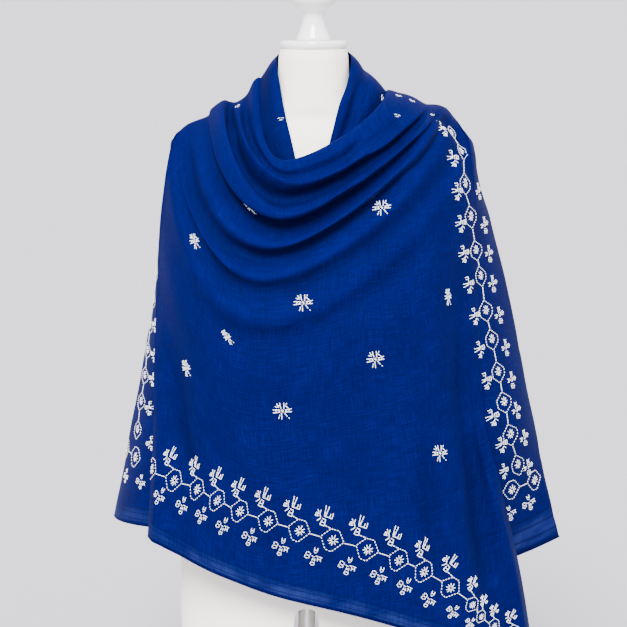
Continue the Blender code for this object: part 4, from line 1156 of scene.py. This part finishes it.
class Paint:
    """A material being built, with short names for its nodes."""

    def __init__(self, name, roughness, specular=0.5, metallic=0.0, sheen=0.0, coat=0.0,
                 tint=(1.0, 1.0, 1.0)):
        self.material = bpy.data.materials.new(name)
        self.material.use_nodes = True
        self.nodes = self.material.node_tree.nodes
        self.links = self.material.node_tree.links
        self.shader = self.nodes["Principled BSDF"]
        for socket, value in (("Roughness", roughness), ("Specular IOR Level", specular),
                              ("Metallic", metallic), ("Sheen Weight", sheen),
                              ("Sheen Roughness", 0.4), ("Coat Weight", coat),
                              ("Specular Tint", (*tint, 1.0)), ("Sheen Tint", (*tint, 1.0))):
            self.shader.inputs[socket].default_value = value

    def node(self, kind, given=(), **settings):
        made = self.nodes.new(kind)
        for key, value in settings.items():
            setattr(made, key, value)
        for socket, value in dict(given).items():
            if isinstance(value, bpy.types.NodeSocket):
                self.links.new(value, made.inputs[socket])
            else:
                made.inputs[socket].default_value = value
        return made

    def place(self):
        return self.node("ShaderNodeTexCoord").outputs["Object"]

    def read(self, name):
        return self.node("ShaderNodeAttribute", attribute_name=name).outputs["Fac"]

    def maths(self, operation, first, second=0.0, third=0.0):
        return self.node("ShaderNodeMath", {0: first, 1: second, 2: third},
                         operation=operation).outputs[0]

    def fit(self, value, low, high, to_low, to_high):
        """Carry the range from low to high over to the range from to_low to to_high."""
        return self.node("ShaderNodeMapRange", {
            0: value, 1: low, 2: high, 3: to_low, 4: to_high}).outputs[0]

    def noise(self, vector, scale, detail=2.0, roughness=0.5):
        made = self.node("ShaderNodeTexNoise", {
            "Vector": vector, "Scale": scale, "Detail": detail, "Roughness": roughness})
        return made.outputs["Fac"]

    def ramp(self, factor, stops):
        made = self.node("ShaderNodeValToRGB", {"Fac": factor})
        band = made.color_ramp
        while len(band.elements) < len(stops):
            band.elements.new(0.5)
        for element, (place, colour) in zip(band.elements, stops):
            element.position = place
            element.color = (*colour, 1.0)
        return made.outputs["Color"]

    def mix(self, factor, first, second):
        """Blend two colours, each a socket or a plain colour."""
        values = {0: factor, 6: first, 7: second}
        return self.node("ShaderNodeMix", {
            socket: (*value, 1.0) if isinstance(value, tuple) else value
            for socket, value in values.items()}, data_type="RGBA").outputs[2]

    def colour(self, socket):
        self.links.new(socket, self.shader.inputs["Base Color"])

    def bump(self, height, strength, distance):
        made = self.node("ShaderNodeBump", {
            "Height": height, "Strength": strength, "Distance": distance})
        self.links.new(made.outputs["Normal"], self.shader.inputs["Normal"])


def blue_voile():
    """Thin plain-woven cotton: uneven threads both ways, a sheerer band along the hems."""
    paint = Paint("blue voile", 0.75, specular=0.15, sheen=0.02, tint=(0.08, 0.22, 1.0))
    flat = paint.node("ShaderNodeUVMap", uv_map="flat cloth").outputs["UV"]
    parts = paint.node("ShaderNodeSeparateXYZ", {0: flat})
    along, down = parts.outputs["X"], parts.outputs["Y"]

    def streaks(first, second, shift):
        where = paint.node("ShaderNodeCombineXYZ", {
            0: paint.maths("MULTIPLY", first, SLUBS_ALONG),
            1: paint.maths("MULTIPLY", second, SLUBS_ACROSS), 2: shift}).outputs[0]
        return paint.noise(where, 1.0, 2.0, 0.6)

    def ribs(across):
        return paint.maths("SINE", paint.maths("MULTIPLY", across, 2 * math.pi / WEAVE))

    # Uneven threads and clouds, with painted shade in the folds' valleys and a painted highlight on
    # their crests
    slubs = paint.maths("ADD", streaks(along, down, 0.0), streaks(down, along, 7.0))
    cloudy = paint.noise(flat, 14.0, 3.0)
    tone = paint.maths("MULTIPLY_ADD", slubs, 0.62,
                       paint.maths("MULTIPLY_ADD", cloudy, 0.22, -0.24))
    blue = paint.ramp(tone, ((0.25, (0.0001, 0.0002, 0.021)), (0.50, (0.0003, 0.0006, 0.041)),
                             (0.78, (0.0016, 0.0032, 0.076))))
    hollow = paint.read("hollow")
    # painted shade: a deeper blue in the folds' valleys, the creases' troughs and the neck roll's
    # outer part
    blue = paint.mix(paint.fit(hollow, 0.0, 1.0, 0.0, 0.42), blue, (0.0001, 0.0003, 0.014))
    # painted highlight: a brighter blue on the folds' crests and the creases' ridges
    blue = paint.mix(paint.fit(hollow, 0.0, -1.0, 0.0, 0.12), blue, (0.0006, 0.0020, 0.085))

    # The sheerer band along the hems and the drawn threads in it
    hem = paint.read("hem")
    inside = paint.fit(hem, 0.003, 0.006, 0.0, 1.0)
    fading = paint.fit(hem, 0.012, 0.026, 1.0, 0.0)
    patchy = paint.fit(paint.noise(flat, 22.0, 2.0), 0.35, 0.7, 0.15, 0.85)
    sheer = paint.maths("MULTIPLY", paint.maths("MULTIPLY", inside, fading), patchy)
    threads = paint.ramp(slubs, ((0.7, (0.002, 0.004, 0.050)), (1.2, (0.012, 0.019, 0.090))))
    cloth = paint.mix(sheer, blue, threads)
    for distance in DRAWN_THREADS:
        away = paint.maths("ABSOLUTE", paint.maths("SUBTRACT", hem, distance))
        line = paint.fit(away, 0.0004, 0.0012, 0.55, 0.0)
        cloth = paint.mix(line, cloth, (0.0002, 0.0004, 0.014))
    paint.colour(cloth)
    weave = paint.maths("MULTIPLY", ribs(along), ribs(down))
    paint.bump(paint.maths("MULTIPLY_ADD", weave, 0.25, slubs), 0.35, 0.0004)
    return paint.material


def white_thread():
    paint = Paint("white thread", 0.62, specular=0.35, sheen=0.3)
    strands = paint.noise(paint.place(), 900.0, 2.0)
    paint.colour(paint.ramp(strands, ((0.3, (0.66, 0.68, 0.74)), (0.7, (0.93, 0.93, 0.94)))))
    paint.bump(strands, 0.4, 0.0003)
    return paint.material


def cream_cover():
    paint = Paint("cream jersey cover", 0.78, specular=0.25, sheen=0.2)
    place = paint.place()
    broad = paint.noise(place, 7.0, 3.0)
    knit = paint.noise(place, 1400.0, 1.0)
    tone = paint.maths("MULTIPLY_ADD", knit, 0.25, paint.maths("MULTIPLY", broad, 0.75))
    paint.colour(paint.ramp(tone, ((0.3, (0.93, 0.875, 0.800)), (0.7, (0.98, 0.940, 0.880)))))
    paint.bump(knit, 0.25, 0.0003)
    return paint.material


def mottled(paint, scale, detail, low, high):
    """A finish that wanders softly between two close colours."""
    paint.colour(paint.ramp(paint.noise(paint.place(), scale, detail), ((0.3, low), (0.7, high))))
    return paint.material


def white_gloss():
    return mottled(Paint("white gloss", 0.16, coat=0.5), 30.0, 3.0,
                   (0.80, 0.79, 0.77), (0.86, 0.855, 0.84))


def chrome():
    return mottled(Paint("chrome", 0.10, metallic=1.0), 60.0, 4.0,
                   (0.62, 0.63, 0.66), (0.74, 0.75, 0.78))


def studio_floor():
    return mottled(Paint("studio floor", 0.9, specular=0.1), 2.0, 2.0,
                   (0.425, 0.414, 0.444), (0.431, 0.420, 0.450))


# Stage

def make_stage():
    """A wide pale floor under an even sky, with one soft light from the upper front left."""
    mesh = bpy.data.meshes.new("floor")
    mesh.from_pydata([(-80, -80, 0), (80, -80, 0), (80, 160, 0), (-80, 160, 0)], [], [(0, 1, 2, 3)])
    floor = linked("floor", mesh)
    floor.data.materials.append(studio_floor())
    world = bpy.context.scene.world or bpy.data.worlds.new("studio")
    bpy.context.scene.world = world
    world.use_nodes = True
    sky = world.node_tree.nodes["Background"]
    sky.inputs["Color"].default_value = (0.985, 0.965, 1.0, 1.0)
    sky.inputs["Strength"].default_value = SKY_STRENGTH
    light = bpy.data.lights.new("key", "SUN")
    light.energy = KEY_STRENGTH
    light.angle = math.radians(KEY_SOFTNESS)
    linked("key", light).rotation_euler = [math.radians(turn) for turn in KEY_TURN]


def make_camera():
    camera = bpy.data.cameras.new("camera")
    camera.lens = LENS
    camera.sensor_width = 36.0
    eye = linked("camera", camera)
    lift = math.radians(CAMERA_LIFT)
    away = Vector((0.0, -math.cos(lift), math.sin(lift)))
    eye.location = Vector((NECK_X, 0.0, CAMERA_AIM_Z)) + away * CAMERA_DISTANCE
    eye.rotation_euler = (-away).to_track_quat("-Z", "Y").to_euler()
    bpy.context.scene.camera = eye


def main():
    make_camera()
    make_stage()
    form, form_tree = make_form()
    cap, knob, pole, base = make_stand()
    sheet, sheet_tree, hems, behind = make_sheet(form_tree)
    border, sprigs = embroider(Cloth(sheet_tree), white_thread(), behind)
    voile, gloss, metal = blue_voile(), white_gloss(), chrome()
    hems = hems.tubes(HEM_SIDES, voile)
    cloth_nodes = ("neck_roll", "front_fall", "left_side", "right_end", "back_fall")
    for piece, material, slot_name, nodes in (  # the hems and threads have their material
            (sheet, voile, "blue_cloth", cloth_nodes),
            (hems, None, "blue_cloth", ()),
            (form, cream_cover(), "cream_cover", ("form_torso",)),
            (cap, gloss, "white_gloss", ("neck_plate",)),
            (knob, gloss, "white_gloss", ("finial",)),
            (pole, metal, "chrome", ("pole",)),
            (base, metal, "chrome", ("base",)),
            (border, None, "blue_cloth", ()),
            (sprigs, None, "blue_cloth", ())):
        if material:
            piece.data.materials.clear()
            piece.data.materials.append(material)
        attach(piece, "root")
        if nodes:
            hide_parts(*nodes)


main()
